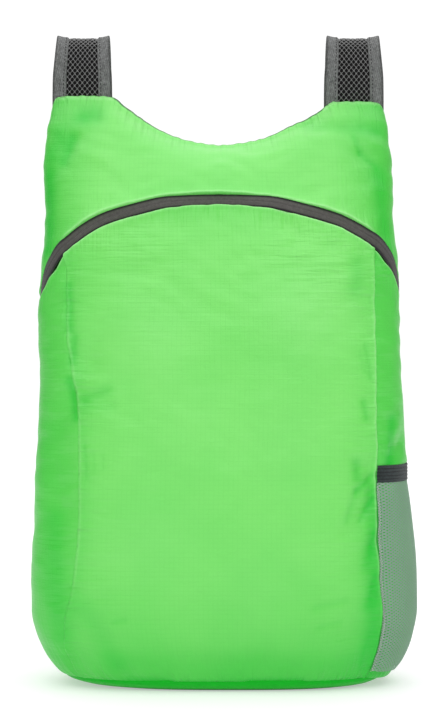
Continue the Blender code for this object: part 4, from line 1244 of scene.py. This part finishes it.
def make_strap(side, word):
    """A strap's padding, the mesh on both faces, and the binding and stitches of both edges."""
    line = strap_line(side, 240)
    total = line[4][-1]
    at = np.linspace(0.0004, total, 220)
    angle = np.linspace(0, 2 * math.pi, 65)[:-1]
    across = np.cos(angle) * (PAD_HALF - 0.0004)
    half = pad_thickness(across) / 2 - 0.0006
    off = np.sign(np.sin(angle)) * np.abs(np.sin(angle)) ** 0.35 * half
    grid = on_strap(line, at[:, None] + 0 * across, across + 0 * at[:, None], off + 0 * at[:, None])
    grid = grid[:, ::-1]
    core = grid_mesh(f"strap_pad_{word}_core", grid, closed=True)
    pad = place_piece(f"strap_pad_{word}_core", core, FOAM, "spacer_mesh", f"strap_pad_{word}")
    reach = PAD_HALF - BINDING_WIDTH + 0.0012
    cells = int(total / MESH_CELL)
    places, crest, faces = lattice(MESH_CELLS_ACROSS, cells, MESH_HOLE)
    for face, place_word in ((1, "outer"), (-1, "inner")):
        across = (places[:, 0] * 2 - 1) * reach
        off = (pad_thickness(across) / 2 + np.where(crest, 0.0002, -0.0005)) * face
        points = on_strap(line, places[:, 1] * (total - 0.001) + 0.0005, across, off)
        turned = faces if face > 0 else faces[:, ::-1]
        mesh = faces_mesh(f"strap_mesh_{word}_{place_word}", points, turned)
        mesh.validate()
        place_piece(mesh.name, mesh, MESH_THREAD, "spacer_mesh")
    steps = np.linspace(0.0003, total, 230)
    for hand, place_word in ((1, "outer"), (-1, "inner")):
        edge = side * hand
        reach_in = PAD_HALF - BINDING_WIDTH
        turn = PAD_HALF + SIDE_GAP
        top = PAD_EDGE_THICK / 2 + TOUCH_GAP + 0.0008
        flat = np.array([0.0, 0.0004, 0.0014, 0.0027, 0.0045, 0.0062, 0.0077])
        crown = np.array([-0.0007, 0.0, 0.0003, 0.0002, 0.0, 0.0, 0.0])
        xs = reach_in + flat
        ys = top + crown
        bend = np.linspace(math.pi / 2, -math.pi / 2, 9)[1:-1]
        bend_x = turn - 0.0004 + np.cos(bend) * 0.0012
        bend_y = np.sin(bend) * top
        profile_x = np.concatenate([xs, bend_x, xs[::-1]])
        profile_y = np.concatenate([ys, bend_y, -ys[::-1]])
        rise = profile_y + 0 * steps[:, None]
        out = edge * profile_x + 0 * steps[:, None]
        grid = on_strap(line, steps[:, None] + 0 * profile_x, out, rise)
        run = np.concatenate([[0], np.cumsum(np.hypot(np.diff(profile_x), np.diff(profile_y)))])
        cloth = np.stack(np.broadcast_arrays(run[None, :], steps[:, None]), axis=-1)
        if edge < 0:
            grid, cloth = grid[:, ::-1], cloth[:, ::-1]
        name = f"strap_binding_{word}_{place_word}"
        mesh = grid_mesh(f"{name}_tape", grid, cloth)
        # Painted shade where the binding turns round the strap's edge.
        dark = ramp(profile_x - PAD_HALF + 0.0004, 0.0012) * 0.75
        dark = np.broadcast_to(dark[::-1] if edge < 0 else dark, grid.shape[:2])
        set_masks(mesh, dark=dark)
        place_piece(f"{name}_tape", mesh, BINDING_TAPE, "binding_grey", name)
        seam = np.full(len(steps), edge * (reach_in + 0.0019))
        raised = np.full(len(steps), top + 0.00015)
        rows = [on_strap(line, steps, seam, raised), on_strap(line, steps, seam, -raised)]
        sew(f"{name}_stitches", rows, BINDING_STITCH, GREY_THREAD, "binding_grey")


def finish_hard_pieces():
    """Gives the solids that keep their shape a finish of their own."""
    looks = {"zip_slider": METAL, "ladder_lock_left": PLASTIC, "ladder_lock_right": PLASTIC}
    for word in ("left", "right"):
        looks[f"buckle_loop_{word}"] = WEBBING_TAPE
        looks[f"strap_webbing_{word}"] = WEBBING_TAPE
    for name, material in looks.items():
        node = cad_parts[name]
        node.data.materials.clear()
        node.data.materials.append(material)


def aim(item, place, target):
    """Puts a lamp or a camera in its place and points it at a target."""
    item.location = place
    item.rotation_euler = (Vector(target) - Vector(place)).to_track_quat("-Z", "Y").to_euler()


def eased(tree, value, low, high):
    """0 below a low value, 1 above a high one and a smooth step between."""
    inputs = {"Value": value, "From Min": low, "From Max": high}
    node = add_node(tree, "ShaderNodeMapRange", inputs, interpolation_type="SMOOTHSTEP")
    return node.outputs["Result"]


def light_the_air(tree):
    """White air above and behind the bag and dim air in front, as between two screens."""
    air = tree.nodes.new("ShaderNodeTexCoord").outputs["Generated"]
    split = add_node(tree, "ShaderNodeSeparateXYZ", {0: air}).outputs
    behind = eased(tree, split["Y"], 0.70, 0.92)
    above = eased(tree, split["Z"], 0.40, 0.85)
    lit = math_node(tree, "MULTIPLY_ADD", behind, AIR_BEHIND - AIR_DIM, AIR_DIM)
    lit = math_node(tree, "MULTIPLY_ADD", above, AIR_ABOVE - AIR_DIM, lit)
    fill(tree, tree.nodes["Background"], {"Color": (1, 1, 1, 1), "Strength": lit})


def make_studio():
    """A pale floor, soft lights and the camera."""
    scene = bpy.context.scene
    floor = bpy.data.meshes.new("studio_floor")
    floor.from_pydata([(-3, -3, 0), (3, -3, 0), (3, 3, 0), (-3, 3, 0)], [], [(0, 1, 2, 3)])
    floor_piece = add_object("studio_floor", floor)
    material, tree, shader = new_material("studio_floor")
    fill(tree, shader, {
        "Base Color": grey(0.60),
        "Roughness": 0.9,
        "Emission Color": (1, 1, 1, 1),
        "Emission Strength": FLOOR_GLOW,
    })
    floor.materials.append(material)
    scene.world = bpy.data.worlds.new("studio_air")
    scene.world.use_nodes = True
    light_the_air(scene.world.node_tree)
    light = bpy.data.lights.new("key_light", "AREA")
    light.shape = "RECTANGLE"
    light.size, light.size_y = KEY_WIDTH, KEY_HEIGHT
    light.energy = KEY_POWER
    aim(add_object("key_light", light), KEY_PLACE, KEY_TARGET)
    camera_data = bpy.data.cameras.new("camera")
    camera_data.lens = CAMERA_LENS
    camera_data.sensor_width = 36
    camera_data.dof.use_dof = False
    camera = add_object("camera", camera_data)
    aim(camera, CAMERA_PLACE, CAMERA_TARGET)
    scene.camera = camera
    scene.view_settings.view_transform = "Standard"


make_studio()
make_cloths()
make_yoke()
make_back()
make_base()
make_zip_tape()
make_pocket()
for strap_side, strap_word in ((-1, "left"), (1, "right")):
    make_strap(strap_side, strap_word)
finish_hard_pieces()
